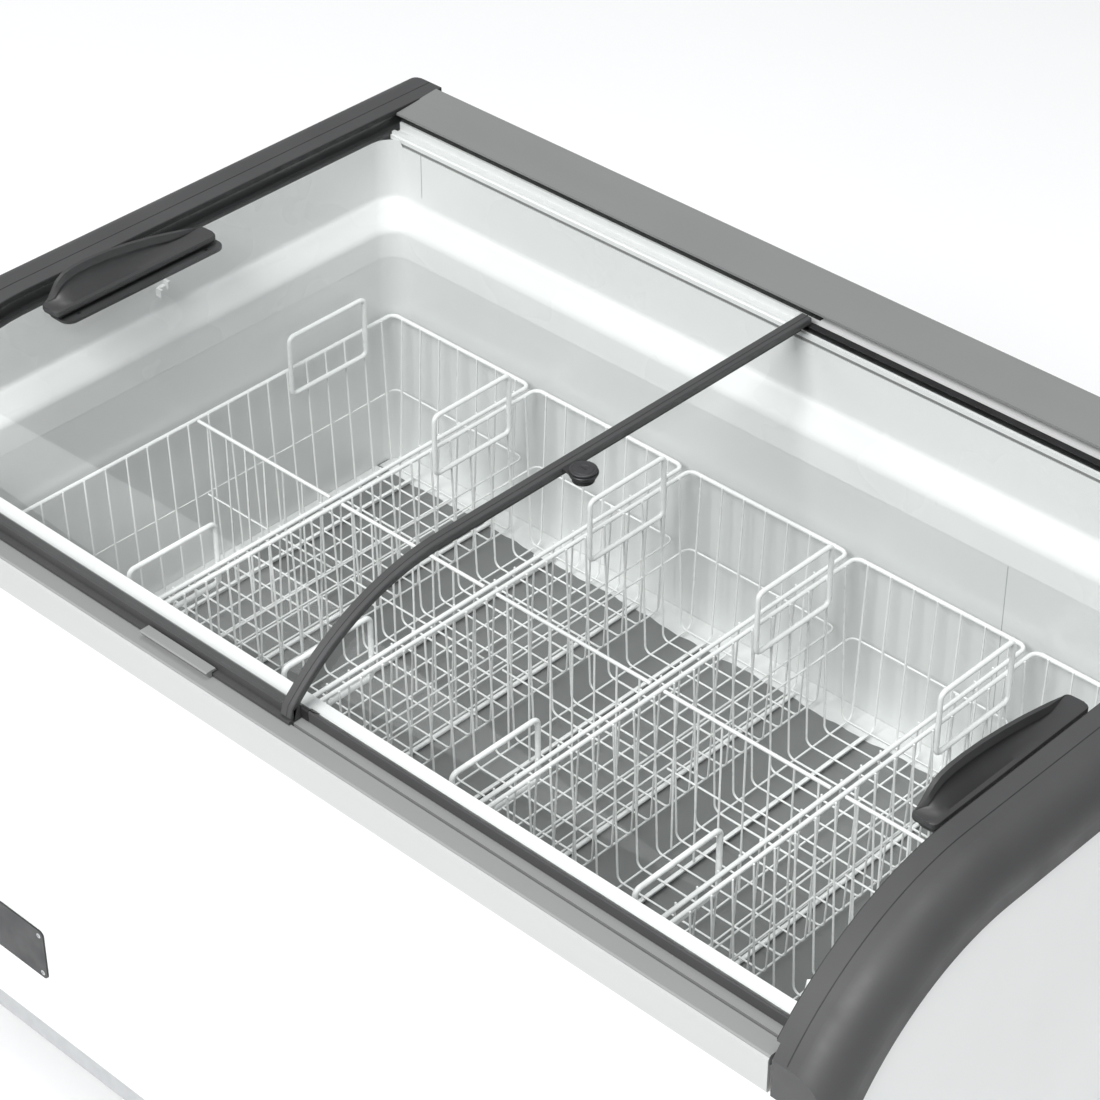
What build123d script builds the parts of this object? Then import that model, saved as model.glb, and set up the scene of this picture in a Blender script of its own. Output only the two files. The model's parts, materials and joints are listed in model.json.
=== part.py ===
"""Display chest freezer: two sliding curved-glass lids over one tank with five wire baskets.

Millimetres. X runs along the length, -Y is the customer's side, +Z is up.
The origin is at the middle of the footprint, on the floor.
"""
import math
import os

from build123d import *

os.makedirs("parts", exist_ok=True)

# ---- driving dimensions ----------------------------------------------------------------
CASE_X = 623.0          # half length over the end caps
CASE_Y = 384.0          # front face of the front trim and the end caps
CASE_REAR = 392.0       # rear face of the rear rail and the end caps
BODY_X = 620.0          # half length of the sheet-metal body
BODY_Y = 380.5          # half depth of the sheet-metal body
SHEET = 1.5
BASE_Z = 75.0           # underside of the base pan
BAY_TOP = 335.0         # roof of the machine bay
PAN_DEPTH = 25.0
PAN_SHEET = 2.5
PANEL_LOW = BASE_Z + PAN_DEPTH
CAP_LOW = 672.0         # lowest edge of the end caps, at the front
PANEL_REAR_TOP = 763.3  # the end caps start above this height at the rear
JOINT_GAP = 0.1         # gap between sheets and mouldings that meet

TANK_X = 541.5          # half inner length
TANK_Y = 295.0          # half inner depth
TANK_TOP = 660.0
TANK_FLOOR = 399.4
TANK_CORNER = 26.0
FLANGE = 34.0           # bottom flange of the tank's long walls

LEDGE_X = 561.5         # half length of the wide mouth above the ledge
LEDGE_REAR = 315.0
LEDGE_FRONT = 323.5
FRONT_STEP = 668.0      # the front ledge is steeper and starts lower
STEP_LOW = 693.0        # ledge starts here
STEP_HIGH = 720.0       # ledge ends here
COLLAR_WALL = 3.5

LID_TOP = 805.5         # top of the outer glass
BEND_Y = -175.0         # the glass is flat behind this line and curved in front of it
BEND_R = 255.0          # outer radius of the outer glass
BEND_Z = LID_TOP - BEND_R
GLASS = 4.0
LID_STEP = 9.0          # the inner lid runs this far inside the outer one
OUTER_FOOT = -360.0     # front edge of each glass
INNER_FOOT = -345.0
LID_END = 566.0         # both panes end here, inside the end caps
STRIP_END = 561.0       # their foot and rear strips end here

BAR_LEFT = 1.0          # closing bar on the outer lid
BAR_RIGHT = 13.5
STRIP_LEFT = -5.5       # closing strip on the inner lid, below the bar
STRIP_RIGHT = 6.5

RAIL_TOP = 710.0        # front rail
RAIL_LOW = 700.0
RAIL_INNER = -339.0
TRACK_LOW = 780.0       # underside of the rear rail
TRACK_Y = 315.0         # front face of the rear rail
TRACK = 787.5           # floor of the inner lid's track
RIB_TOP = 790.8         # rib that carries the inner lid
COLLAR_REAR = LEDGE_REAR + 3.5
DRAIN_X = -TANK_X + 90  # drain in the tank floor
DRAIN_Y = -TANK_Y + 80
CAP_LIP = 5.0
CAP_BAND = 50.0         # height of the end cap, square to the glass
CAP_OUT = 8.0           # end cap stands this far above the outer glass
GROOVE = 20.0           # height of the lid groove in the end cap

BASKETS = 5
PITCH = 215.0
RIM_X = 102.7           # half width, on the rim wire's centre
RIM_Y = 282.7
RIM_Z = 591.0
RIM_D = 4.8
WIRE_D = 2.2
BASKET_FLOOR = 408.5
RUNNER_D = 5.0
TAPER = 8.5             # each wall leans in this much at the bottom
LONG_WIRES = 20         # wires along each long wall
END_WIRES = 7
WIRE_GAP_Y = 27.6
WIRE_GAP_X = 28.4
LOOP_D = 5.5            # lifting handles
LOOP_Y = 54.0
LOOP_LOW = 564.5
LOOP_HIGH = 635.0
LOOP_REAR = 180.5       # middle of the rear handle
LOOP_FRONT = -201.0

WHEEL_R = 25.0
WHEEL_W = 18.0
CASTOR_X = 530.0
CASTOR_Y = 300.0
TRAIL = 20.0

FAN_X, FAN_Y, FAN_Z = 350.0, -262.0, 205.0
PANEL_X, PANEL_Z = -440.0, 205.0    # middle of the control panel
KNOB_X = PANEL_X - 32               # thermostat knob
INLET_X, INLET_Z = -420.0, 200.0    # power inlet on the rear panel
REAR_GRILLE_X = 300.0


def save(block, name):
    """Label a finished sub-part and write its STEP file."""
    block.part.label = name
    export_step(block.part, f"parts/{name}.step")


def save_group(solids, name):
    """Write several separate solids as one sub-part."""
    group = Compound(children=list(solids))
    group.label = name
    export_step(group, f"parts/{name}.step")


def arc_point(radius, y):
    """Height of the lid's curve of this radius at y."""
    return BEND_Z + math.sqrt(radius ** 2 - (y - BEND_Y) ** 2)


def lid_prism(outer, inner, x_from, x_to, y_rear, y_front, z_cut=None):
    """Curved slab between two radii of the lids' curve, from x_from to x_to, as a separate solid."""
    front_outer = (y_front, arc_point(outer, y_front))
    if z_cut is None:
        slope = math.asin((BEND_Y - y_front) / outer)
        front_inner = (BEND_Y - inner * math.sin(slope), BEND_Z + inner * math.cos(slope))
    else:
        front_inner = (BEND_Y - math.sqrt(inner ** 2 - (z_cut - BEND_Z) ** 2), z_cut)
    with BuildPart() as prism:
        with BuildSketch(Plane.YZ.offset(x_from)):
            with BuildLine():
                Line((y_rear, BEND_Z + outer), (BEND_Y, BEND_Z + outer))
                TangentArc((BEND_Y, BEND_Z + outer), front_outer, tangent=(-1, 0))
                if z_cut is None:
                    Line(front_outer, front_inner)
                else:
                    Polyline(front_outer, (y_front, z_cut), front_inner)
                TangentArc((BEND_Y, BEND_Z + inner), front_inner, tangent=(-1, 0))
                Line((BEND_Y, BEND_Z + inner), (y_rear, BEND_Z + inner))
                Line((y_rear, BEND_Z + inner), (y_rear, BEND_Z + outer))
            make_face()
        extrude(amount=x_to - x_from)
    return prism.part


# ---- tank --------------------------------------------------------------------------------
def make_inner_tank():
    """Folded tank walls with a bottom flange turned in under the long sides."""
    with BuildPart() as inner_tank:
        with BuildSketch(Plane.XY.offset(TANK_FLOOR)):
            RectangleRounded(2 * (TANK_X + SHEET), 2 * (TANK_Y + SHEET), TANK_CORNER + SHEET)
        extrude(amount=TANK_TOP - TANK_FLOOR)
        with BuildSketch(Plane.XY.offset(TANK_FLOOR)):
            RectangleRounded(2 * TANK_X, 2 * TANK_Y, TANK_CORNER)
        extrude(amount=TANK_TOP - TANK_FLOOR, mode=Mode.SUBTRACT)
    save(inner_tank, "inner_tank")


def make_tank_floor():
    with BuildPart() as tank_floor:
        with BuildSketch(Plane.XY.offset(TANK_FLOOR - SHEET)):
            RectangleRounded(2 * (TANK_X + SHEET), 2 * (TANK_Y + SHEET), TANK_CORNER + SHEET)
            with Locations((DRAIN_X, DRAIN_Y)):
                Circle(11, mode=Mode.SUBTRACT)
        extrude(amount=SHEET)
    save(tank_floor, "tank_floor")


def make_floor_flange():
    """Thin white flange and sealing bead on the floor, along the tank's walls."""
    with BuildPart() as floor_flange:
        with BuildSketch(Plane.XY.offset(TANK_FLOOR)):
            RectangleRounded(2 * TANK_X - 0.2, 2 * TANK_Y - 0.2, TANK_CORNER - 0.1)
            Rectangle(2 * (TANK_X - 12), 2 * (TANK_Y - FLANGE), mode=Mode.SUBTRACT)
        extrude(amount=0.3)
    save(floor_flange, "floor_flange")


def make_drain():
    """Drain tube from the tank floor to the front of the base, with its cap."""
    low, cap = 150.0, 8.0
    with BuildPart() as drain_tube:
        with BuildSketch(Plane.XY.offset(low)):
            with Locations((DRAIN_X, DRAIN_Y)):
                Circle(9)
                Circle(7, mode=Mode.SUBTRACT)
        extrude(amount=TANK_FLOOR - low)
        with BuildSketch(Plane.XY.offset(low - cap)):
            with Locations((DRAIN_X, DRAIN_Y)):
                Circle(13)
        extrude(amount=cap)
    save(drain_tube, "drain_tube")


def make_evaporator():
    """Five turns of flat tube bonded to the outside of the tank walls."""
    turns, pitch, width = 5, 50.0, 12.0
    inner = SHEET + 0.2
    outer = SHEET + 8.0
    with BuildPart() as evaporator_coil:
        for turn in range(turns):
            with BuildSketch(Plane.XY.offset(TANK_FLOOR + 25 + pitch * turn)):
                RectangleRounded(2 * (TANK_X + outer), 2 * (TANK_Y + outer), TANK_CORNER + outer)
                RectangleRounded(2 * (TANK_X + inner), 2 * (TANK_Y + inner), TANK_CORNER + inner,
                                 mode=Mode.SUBTRACT)
            extrude(amount=width)
    save(evaporator_coil, "evaporator_coil")


# ---- collar ------------------------------------------------------------------------------
def make_collar():
    """White moulded mouth between the tank and the rails: strip, sloped ledge and upright wall."""
    ledge_y = (LEDGE_REAR - LEDGE_FRONT) / 2
    ledge_half = (LEDGE_REAR + LEDGE_FRONT) / 2
    curve = BEND_R - LID_STEP - GLASS - 5.0
    top = BEND_Z + curve
    front = RAIL_INNER + JOINT_GAP
    with BuildPart() as collar:
        with BuildSketch(Plane.YZ.offset(-LEDGE_X - COLLAR_WALL)):
            with BuildLine():
                Polyline((front, arc_point(curve, front)), (front, TANK_TOP), (COLLAR_REAR, TANK_TOP),
                         (COLLAR_REAR, TRACK_LOW - JOINT_GAP), (TRACK_Y, TRACK_LOW - JOINT_GAP),
                         (TRACK_Y, top), (BEND_Y, top))
                TangentArc((BEND_Y, top), (front, arc_point(curve, front)), tangent=(-1, 0))
            make_face()
        extrude(amount=2 * (LEDGE_X + COLLAR_WALL))
        # the front wall stops at the rail
        with Locations((0, (RAIL_INNER - LEDGE_FRONT) / 2 - 10, RAIL_TOP + 50)):
            Box(2 * LEDGE_X, 60, 100, mode=Mode.SUBTRACT)
        with BuildSketch(Plane.YZ.offset(TANK_CORNER - TANK_X)):
            with BuildLine():
                Polyline((-TANK_Y, FRONT_STEP), (-LEDGE_FRONT, RAIL_TOP), (-LEDGE_FRONT, RAIL_TOP + 5),
                         (-TANK_Y, RAIL_TOP + 5), close=True)
            make_face()
        extrude(amount=2 * (TANK_X - TANK_CORNER), mode=Mode.SUBTRACT)
        # tank mouth
        with BuildSketch(Plane.XY.offset(TANK_TOP)):
            RectangleRounded(2 * TANK_X, 2 * TANK_Y, TANK_CORNER)
        extrude(amount=STEP_LOW - TANK_TOP, mode=Mode.SUBTRACT)
        # sloped ledge
        with BuildSketch(Plane.XY.offset(STEP_LOW)):
            RectangleRounded(2 * TANK_X, 2 * TANK_Y, TANK_CORNER)
        with BuildSketch(Plane.XY.offset(STEP_HIGH)):
            with Locations((0, ledge_y)):
                RectangleRounded(2 * LEDGE_X, 2 * ledge_half, TANK_CORNER)
        loft(mode=Mode.SUBTRACT)
        # upright walls
        with BuildSketch(Plane.XY.offset(STEP_HIGH)):
            with Locations((0, ledge_y)):
                RectangleRounded(2 * LEDGE_X, 2 * ledge_half, TANK_CORNER)
        extrude(amount=90, mode=Mode.SUBTRACT)
    save(collar, "collar")


def make_probe_clip():
    """Small clip for the temperature probe on the left collar wall."""
    with BuildPart() as probe_clip:
        with Locations((-LEDGE_X + 2.5, -9, 743)):
            Box(5, 8, 5)
        with Locations((-LEDGE_X + 4, -4, 746), (-LEDGE_X + 4, -14, 740)):
            Box(8, 3, 9)
    save(probe_clip, "probe_clip")


# ---- body --------------------------------------------------------------------------------
def end_profile(x_from, x_to, half_y, low):
    """Slab with the outline of the case's ends, its top following the underside of the end caps."""
    curve = BEND_R + CAP_OUT - CAP_BAND - JOINT_GAP
    shoulder = CAP_LOW - JOINT_GAP
    front = (BEND_Y - math.sqrt(curve ** 2 - (shoulder - BEND_Z) ** 2), shoulder)
    with BuildPart() as slab:
        with BuildSketch(Plane.YZ.offset(x_from)):
            with BuildLine():
                Polyline(front, (-half_y, shoulder), (-half_y, low), (half_y, low),
                         (half_y, BEND_Z + curve), (BEND_Y, BEND_Z + curve))
                TangentArc((BEND_Y, BEND_Z + curve), front, tangent=(-1, 0))
            make_face()
        extrude(amount=x_to - x_from)
    return slab.part


def make_insulation():
    """Foam block around the tank: side and rear walls, front wall and floor slab."""
    gap = 9.8
    with BuildPart() as insulation:
        add(end_profile(-BODY_X + SHEET, BODY_X - SHEET, BODY_Y - SHEET, BAY_TOP))
        with BuildSketch(Plane.XY.offset(TANK_FLOOR - SHEET)):
            RectangleRounded(2 * (TANK_X + gap), 2 * (TANK_Y + gap), TANK_CORNER + gap)
        extrude(amount=TANK_TOP - TANK_FLOOR + SHEET, mode=Mode.SUBTRACT)
        with Locations((0, (COLLAR_REAR + RAIL_INNER) / 2, TANK_TOP + 100)):
            Box(2 * (LEDGE_X + COLLAR_WALL), COLLAR_REAR - RAIL_INNER, 200, mode=Mode.SUBTRACT)
        with BuildSketch(Plane.XY.offset(BAY_TOP)):
            with Locations((DRAIN_X, DRAIN_Y)):
                Circle(9.5)
        extrude(amount=TANK_FLOOR - BAY_TOP, mode=Mode.SUBTRACT)
    save(insulation, "insulation")


def make_front_panel():
    shoulder = CAP_LOW - JOINT_GAP
    top = RAIL_LOW - 1.0
    with BuildPart() as front_panel:
        with BuildSketch(Plane.XZ.offset(BODY_Y - SHEET)):
            with Locations((0, (PANEL_LOW + shoulder) / 2)):
                Rectangle(2 * (BODY_X - SHEET), shoulder - PANEL_LOW)
            with Locations((0, (PANEL_LOW + top) / 2)):
                Rectangle(2 * LEDGE_X, top - PANEL_LOW)
            with Locations((FAN_X, FAN_Z)):
                RectangleRounded(330, 170, 8, mode=Mode.SUBTRACT)
            with Locations((PANEL_X, PANEL_Z)):
                RectangleRounded(150, 64, 6, mode=Mode.SUBTRACT)
        extrude(amount=SHEET)
    save(front_panel, "front_panel")


def make_rear_panel():
    top = TRACK_LOW - JOINT_GAP
    with BuildPart() as rear_panel:
        with BuildSketch(Plane.XZ.offset(-BODY_Y)):
            with Locations((0, (PANEL_LOW + PANEL_REAR_TOP) / 2)):
                Rectangle(2 * (BODY_X - SHEET), PANEL_REAR_TOP - PANEL_LOW)
            with Locations((0, (PANEL_LOW + top) / 2)):
                Rectangle(2 * LEDGE_X, top - PANEL_LOW)
            with Locations((REAR_GRILLE_X, FAN_Z)):
                RectangleRounded(420, 150, 8, mode=Mode.SUBTRACT)
            with Locations((INLET_X, INLET_Z)):
                RectangleRounded(34, 27, 3, mode=Mode.SUBTRACT)
        extrude(amount=SHEET)
    save(rear_panel, "rear_panel")


def make_side_panels():
    for side, name in ((-1, "side_panel_left"), (1, "side_panel_right")):
        with BuildPart() as side_panel:
            add(end_profile(side * (BODY_X - SHEET), side * BODY_X, BODY_Y, PANEL_LOW))
        save(side_panel, name)


def make_base_pan():
    """Pressed pan that carries the machine and the castors."""
    with BuildPart() as base_pan:
        with BuildSketch(Plane.XY.offset(BASE_Z)):
            Rectangle(2 * BODY_X, 2 * BODY_Y)
        extrude(amount=PAN_DEPTH)
        with BuildSketch(Plane.XY.offset(BASE_Z + PAN_SHEET)):
            Rectangle(2 * (BODY_X - PAN_SHEET), 2 * (BODY_Y - PAN_SHEET))
        extrude(amount=PAN_DEPTH, mode=Mode.SUBTRACT)
        with Locations(*((sx * CASTOR_X, sy * CASTOR_Y, BASE_Z) for sx in (-1, 1) for sy in (-1, 1))):
            Cylinder(5.05, 12, mode=Mode.SUBTRACT)
    save(base_pan, "base_pan")


def make_grille(name, centre_x, width, height, y_face, outward):
    """Louvred plate set over an opening in a body panel."""
    with BuildPart() as grille:
        with Locations((centre_x, y_face + outward * 1.0, FAN_Z)):
            Box(width, 2.0, height)
        count = int((height - 30) / 14)
        slots = [(centre_x + side * width / 4, y_face + outward, FAN_Z + 14 * (row - (count - 1) / 2))
                 for row in range(count) for side in (-1, 1)]
        with Locations(*slots):
            Box(width / 2 - 22, 6, 6, mode=Mode.SUBTRACT)
    save(grille, name)


# ---- rails and end caps --------------------------------------------------------------------
def make_front_rail():
    """Grey rail with a shallow running groove for each lid."""
    with BuildPart() as front_rail:
        with BuildSketch(Plane.YZ.offset(-LEDGE_X)):
            with BuildLine():
                Polyline((RAIL_INNER, RAIL_LOW), (RAIL_INNER, RAIL_TOP), (-344.3, RAIL_TOP), (-344.3, 705),
                         (-347.3, 705), (-347.3, RAIL_TOP), (-360.5, RAIL_TOP), (-360.5, 705),
                         (-363.5, 705), (-363.5, RAIL_TOP), (-381, RAIL_TOP), (-382.5, 709), (-382.5, RAIL_LOW),
                         close=True)
            make_face()
        extrude(amount=2 * LEDGE_X)
    save(front_rail, "front_rail")


def make_front_trim():
    """Pale upright trim below the front rail."""
    with BuildPart() as front_trim:
        with BuildSketch(Plane.YZ.offset(-LEDGE_X)):
            with BuildLine():
                Polyline((-380.6, CAP_LOW), (-380.6, RAIL_LOW - JOINT_GAP), (-382.6, RAIL_LOW - JOINT_GAP),
                         (-382.6, 708.5), (-CASE_Y, 706.5), (-CASE_Y, 673.5), (-383, CAP_LOW), close=True)
            make_face()
        extrude(amount=2 * LEDGE_X)
    save(front_trim, "front_trim")


def make_rear_rail():
    """Stepped rear rail: inner track, outer track and the lip over them."""
    with BuildPart() as rear_rail:
        with BuildSketch(Plane.YZ.offset(-LEDGE_X)):
            with BuildLine():
                Polyline((TRACK_Y, TRACK_LOW), (TRACK_Y, TRACK), (317, TRACK), (317, RIB_TOP), (321, RIB_TOP),
                         (321, TRACK), (329, TRACK), (329, 796.5), (346, 796.5), (346, 807.3), (324, 807.3),
                         (324, 810), (384, 815), (CASE_REAR, 808), (CASE_REAR, TRACK_LOW), close=True)
            make_face()
        extrude(amount=2 * LEDGE_X)
    save(rear_rail, "rear_rail")


def make_end_caps():
    """Dark end caps that follow the lids' curve, with a groove for the lids' ends."""
    outer = BEND_R + CAP_OUT
    back_x = LEDGE_X + COLLAR_WALL + 0.2
    for side, name in ((-1, "end_cap_left"), (1, "end_cap_right")):
        with BuildPart() as end_cap:
            add(lid_prism(outer, outer - CAP_BAND, side * back_x, side * CASE_X, CASE_REAR, -CASE_Y, CAP_LOW))
            rims = [e for e in end_cap.edges() if is_cap_top(e, outer, side * CASE_X)]
            fillet(rims, radius=34)
            add(lid_prism(outer, outer - CAP_LIP, side * LEDGE_X, side * (back_x + 1), CASE_REAR, -375.0))
            add(lid_prism(outer - CAP_LIP, outer - CAP_LIP - GROOVE, side * back_x, side * (back_x + 4.5),
                          CASE_REAR + 1, -375.0), mode=Mode.SUBTRACT)
        save(end_cap, name)


def is_cap_top(edge, outer, face_x):
    """True for the edges of the cap's outer face that lie on its upper curve."""
    for t in (0.1, 0.5, 0.9):
        p = edge.position_at(t)
        reach = p.Z - BEND_Z if p.Y >= BEND_Y else math.hypot(p.Y - BEND_Y, p.Z - BEND_Z)
        if abs(p.X - face_x) > 0.01 or abs(reach - outer) > 0.05:
            return False
    return True


def make_rail_tab():
    """Rounded tab on the front rail that keeps the outer lid's foot down."""
    with BuildPart() as rail_tab:
        with BuildSketch(Plane.YZ.offset(-171.5)):
            with BuildLine():
                Polyline((-369.2, RAIL_TOP), (-373, 716.5), (-372, 717.5), (-362, 717.5), (-360.8, 715),
                         (-366.6, 715), (-366.6, RAIL_TOP), close=True)
            make_face()
        extrude(amount=88)
    save(rail_tab, "rail_tab")


# ---- lids --------------------------------------------------------------------------------
def lid_sheet(name, step, x_from, x_to, y_rear, y_front):
    """Bent glass pane."""
    outer = BEND_R - step
    with BuildPart() as pane:
        add(lid_prism(outer, outer - GLASS, x_from, x_to, y_rear, y_front))
    save(pane, name)


def lid_bar(name, step, x_from, x_to, glass_x, y_rear, y_front, lap):
    """Closing bar along a pane's edge, slotted over the glass between glass_x's two ends."""
    outer = BEND_R - step
    with BuildPart() as bar:
        add(lid_prism(outer + lap, outer - GLASS - lap, x_from, x_to, y_rear, y_front))
        add(lid_prism(outer, outer - GLASS, *glass_x, y_rear + 1, y_front - 3), mode=Mode.SUBTRACT)
    save(bar, name)


def lid_foot(name, step, x_from, x_to, y_front, tongue_y):
    """Foot strip along a pane's front edge, with a tongue in the rail's groove."""
    outer = BEND_R - step
    reach = 6.0
    low = RAIL_TOP + 0.4
    with BuildPart() as foot:
        with BuildSketch(Plane.YZ.offset(x_from)):
            with BuildLine():
                Polyline((y_front - reach, low), (y_front - reach, low + 3.0), (y_front, low + 3.5),
                         (y_front, arc_point(outer - GLASS - 2, y_front + 6) - 1),
                         (y_front + 8, arc_point(outer - GLASS - 2, y_front + 8) - 1),
                         (y_front + 8, low), (tongue_y + 1, low), (tongue_y + 1, low - 3.9),
                         (tongue_y - 1, low - 3.9), (tongue_y - 1, low), close=True)
            make_face()
        extrude(amount=x_to - x_from)
        add(lid_prism(outer, outer - GLASS, x_from, x_to, 0, y_front), mode=Mode.SUBTRACT)
    save(foot, name)


def lid_rear(name, step, x_from, x_to, y_front, y_rear, height):
    """Rear strip that carries a pane on its track."""
    top = BEND_R - step
    with BuildPart() as strip:
        with BuildSketch(Plane.YZ.offset(x_from)):
            with BuildLine():
                Polyline((y_front, BEND_Z + top - height), (y_front, BEND_Z + top + 0.9),
                         (y_rear, BEND_Z + top + 0.9), (y_rear, BEND_Z + top - height), close=True)
            make_face()
        extrude(amount=x_to - x_from)
        add(lid_prism(top, top - GLASS, x_from, x_to, y_rear - 3, -300), mode=Mode.SUBTRACT)
    save(strip, name)


def make_handle(name, x_left, z):
    """Fin grip on the glass at height z: tall near the front, falling to the rear, hollow on its right."""
    rear_y, front_y = 24.0, -180.0
    width, flange, peak = 25.0, 7.0, 37.0
    with BuildPart() as handle:
        with BuildSketch(Plane.XZ.offset(-rear_y)):
            with BuildLine():
                Polyline((x_left + width - 3, z + flange), (x_left + width, z + flange - 1),
                         (x_left + width, z), (x_left, z), (x_left, z + flange - 1),
                         (x_left + 1, z + flange), (x_left + 5, z + peak), (x_left + 10, z + peak))
                ThreePointArc((x_left + 10, z + peak), (x_left + 12, z + 19),
                              (x_left + width - 3, z + flange))
            make_face()
        extrude(amount=rear_y - front_y)
        with BuildSketch(Plane.YZ.offset(x_left - 1)):
            with BuildLine():
                Polyline((-167, z + 22), (-171, z + 12), (-176, z + flange), (front_y, z + flange),
                         (front_y, z), (rear_y, z), (rear_y, z + flange), (15, z + 8.5))
                ThreePointArc((15, z + 8.5), (-60, z + 28.6), (-127, z + peak))
                ThreePointArc((-127, z + peak), (-156, z + 33.5), (-167, z + 22))
            make_face()
        extrude(amount=width + 2, mode=Mode.INTERSECT)
    save(handle, name)


def make_handle_plate(name, x_left, x_right, glass_bottom):
    """Backing plate under the glass, with two screws."""
    rear_y, front_y, thick = 28.0, -174.0, 3.0
    spots = ((x_right - 8, front_y + 20), (x_right - 8, rear_y - 20))
    with BuildPart() as plate:
        with BuildSketch(Plane.XY.offset(glass_bottom - thick)):
            with Locations(((x_left + x_right) / 2, (rear_y + front_y) / 2)):
                RectangleRounded(x_right - x_left, rear_y - front_y, 11)
            with Locations(*spots):
                Circle(2.0, mode=Mode.SUBTRACT)
        extrude(amount=thick)
    save(plate, name + "_plate")
    with BuildPart() as screws:
        with BuildSketch(Plane.XY.offset(glass_bottom - thick)):
            with Locations(*spots):
                Circle(1.95)
        extrude(amount=thick)
    save(screws, name + "_screws")


def make_lids():
    inner_top = LID_TOP - LID_STEP
    lid_sheet("lid_left_glass", 0, -LID_END, BAR_RIGHT - 3, 341.0, OUTER_FOOT)
    lid_bar("lid_left_bar", 0, BAR_LEFT, BAR_RIGHT, (BAR_LEFT - 1, BAR_RIGHT - 3), 318.0, -351.0, 1.5)
    lid_foot("lid_left_foot", 0, -STRIP_END, BAR_RIGHT, OUTER_FOOT, -362.0)
    lid_rear("lid_left_rear_strip", 0, -STRIP_END, BAR_RIGHT, 331.0, 344.0, 8.6)
    make_handle("lid_left_handle", -531.5, LID_TOP)
    make_handle_plate("lid_left_handle", -533.0, -498.5, LID_TOP - GLASS)
    lid_sheet("lid_right_glass", LID_STEP, STRIP_LEFT + 3, LID_END, 320.0, INNER_FOOT)
    lid_bar("lid_right_strip", LID_STEP, STRIP_LEFT, STRIP_RIGHT, (STRIP_LEFT + 3, STRIP_RIGHT + 1),
            312.0, -337.0, 1.2)
    lid_foot("lid_right_foot", LID_STEP, STRIP_LEFT, STRIP_END, INNER_FOOT, -345.8)
    lid_rear("lid_right_rear_strip", LID_STEP, STRIP_LEFT, STRIP_END, 315.0, 323.0, 5.5)
    make_handle("lid_right_handle", 526.5, inner_top)
    make_handle_plate("lid_right_handle", 525.0, 552.0, inner_top - GLASS)


def make_lock():
    """Key lock on a bracket at the right-hand side of the closing bar."""
    x, y = 31.5, -20.5
    low, plate, flange, disc = 797.2, 803.0, 805.3, 808.1
    top = 810.9
    with BuildPart() as lock_bracket:
        with BuildSketch(Plane.XY.offset(plate)):
            with Locations(((x + BAR_RIGHT) / 2, y)):
                Rectangle(x - BAR_RIGHT, 17)
            with Locations((x, y)):
                Circle(12.5)
                Circle(10.7, mode=Mode.SUBTRACT)
        extrude(amount=flange - plate)
    save(lock_bracket, "lock_bracket")
    with BuildPart() as lock_body:
        with BuildSketch(Plane.XY.offset(low)):
            with Locations((x, y)):
                Circle(10.65)
        extrude(amount=flange - low)
        with BuildSketch(Plane.XY.offset(flange)):
            with Locations((x, y)):
                Circle(14)
        extrude(amount=disc - 0.3 - flange)
        with BuildSketch(Plane.XY.offset(low)):
            with Locations((x, y)):
                Circle(4.05)
        extrude(amount=disc - low, mode=Mode.SUBTRACT)
    save(lock_body, "lock_body")
    with BuildPart() as lock_core:
        with BuildSketch(Plane.XY.offset(low)):
            with Locations((x, y)):
                Circle(4)
        extrude(amount=disc - low)
        with BuildSketch(Plane.XY.offset(disc)):
            with Locations((x, y)):
                Circle(13)
        extrude(amount=top - disc)
        chamfer(lock_core.edges().group_by(Axis.Z)[-1], length=0.8)
        with BuildSketch(Plane.XY.offset(top)):
            with Locations((x, y)):
                Rectangle(8, 2)
        extrude(amount=-2, mode=Mode.SUBTRACT)
    save(lock_core, "lock_core")


# ---- baskets -------------------------------------------------------------------------------
def rods_z(spots, z_from, z_to, diameter, lean=(0, 0)):
    """Upright rods from z_from to z_to that lean by the given X and Y amounts on the way down."""
    with BuildPart() as rods:
        with BuildSketch(Plane.XY.offset(z_to)):
            with Locations(*spots):
                Circle(diameter / 2)
        height = z_to - z_from
        run = Vector(lean[0], lean[1], -height)
        extrude(amount=run.length, dir=run.normalized())
    return rods.part.solids()


def rods_x(spots, x_from, x_to, diameter):
    """Rods along X; spots are their (y, z)."""
    with BuildPart() as rods:
        with BuildSketch(Plane.YZ.offset(x_from)):
            with Locations(*spots):
                Circle(diameter / 2)
        extrude(amount=x_to - x_from)
    return rods.part.solids()


def rods_y(spots, y_from, y_to, diameter):
    """Rods along Y; spots are their (x, z)."""
    with BuildPart() as rods:
        with BuildSketch(Plane.XZ.offset(-y_from)):
            with Locations(*spots):
                Circle(diameter / 2)
        extrude(amount=-(y_to - y_from))
    return rods.part.solids()


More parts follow.
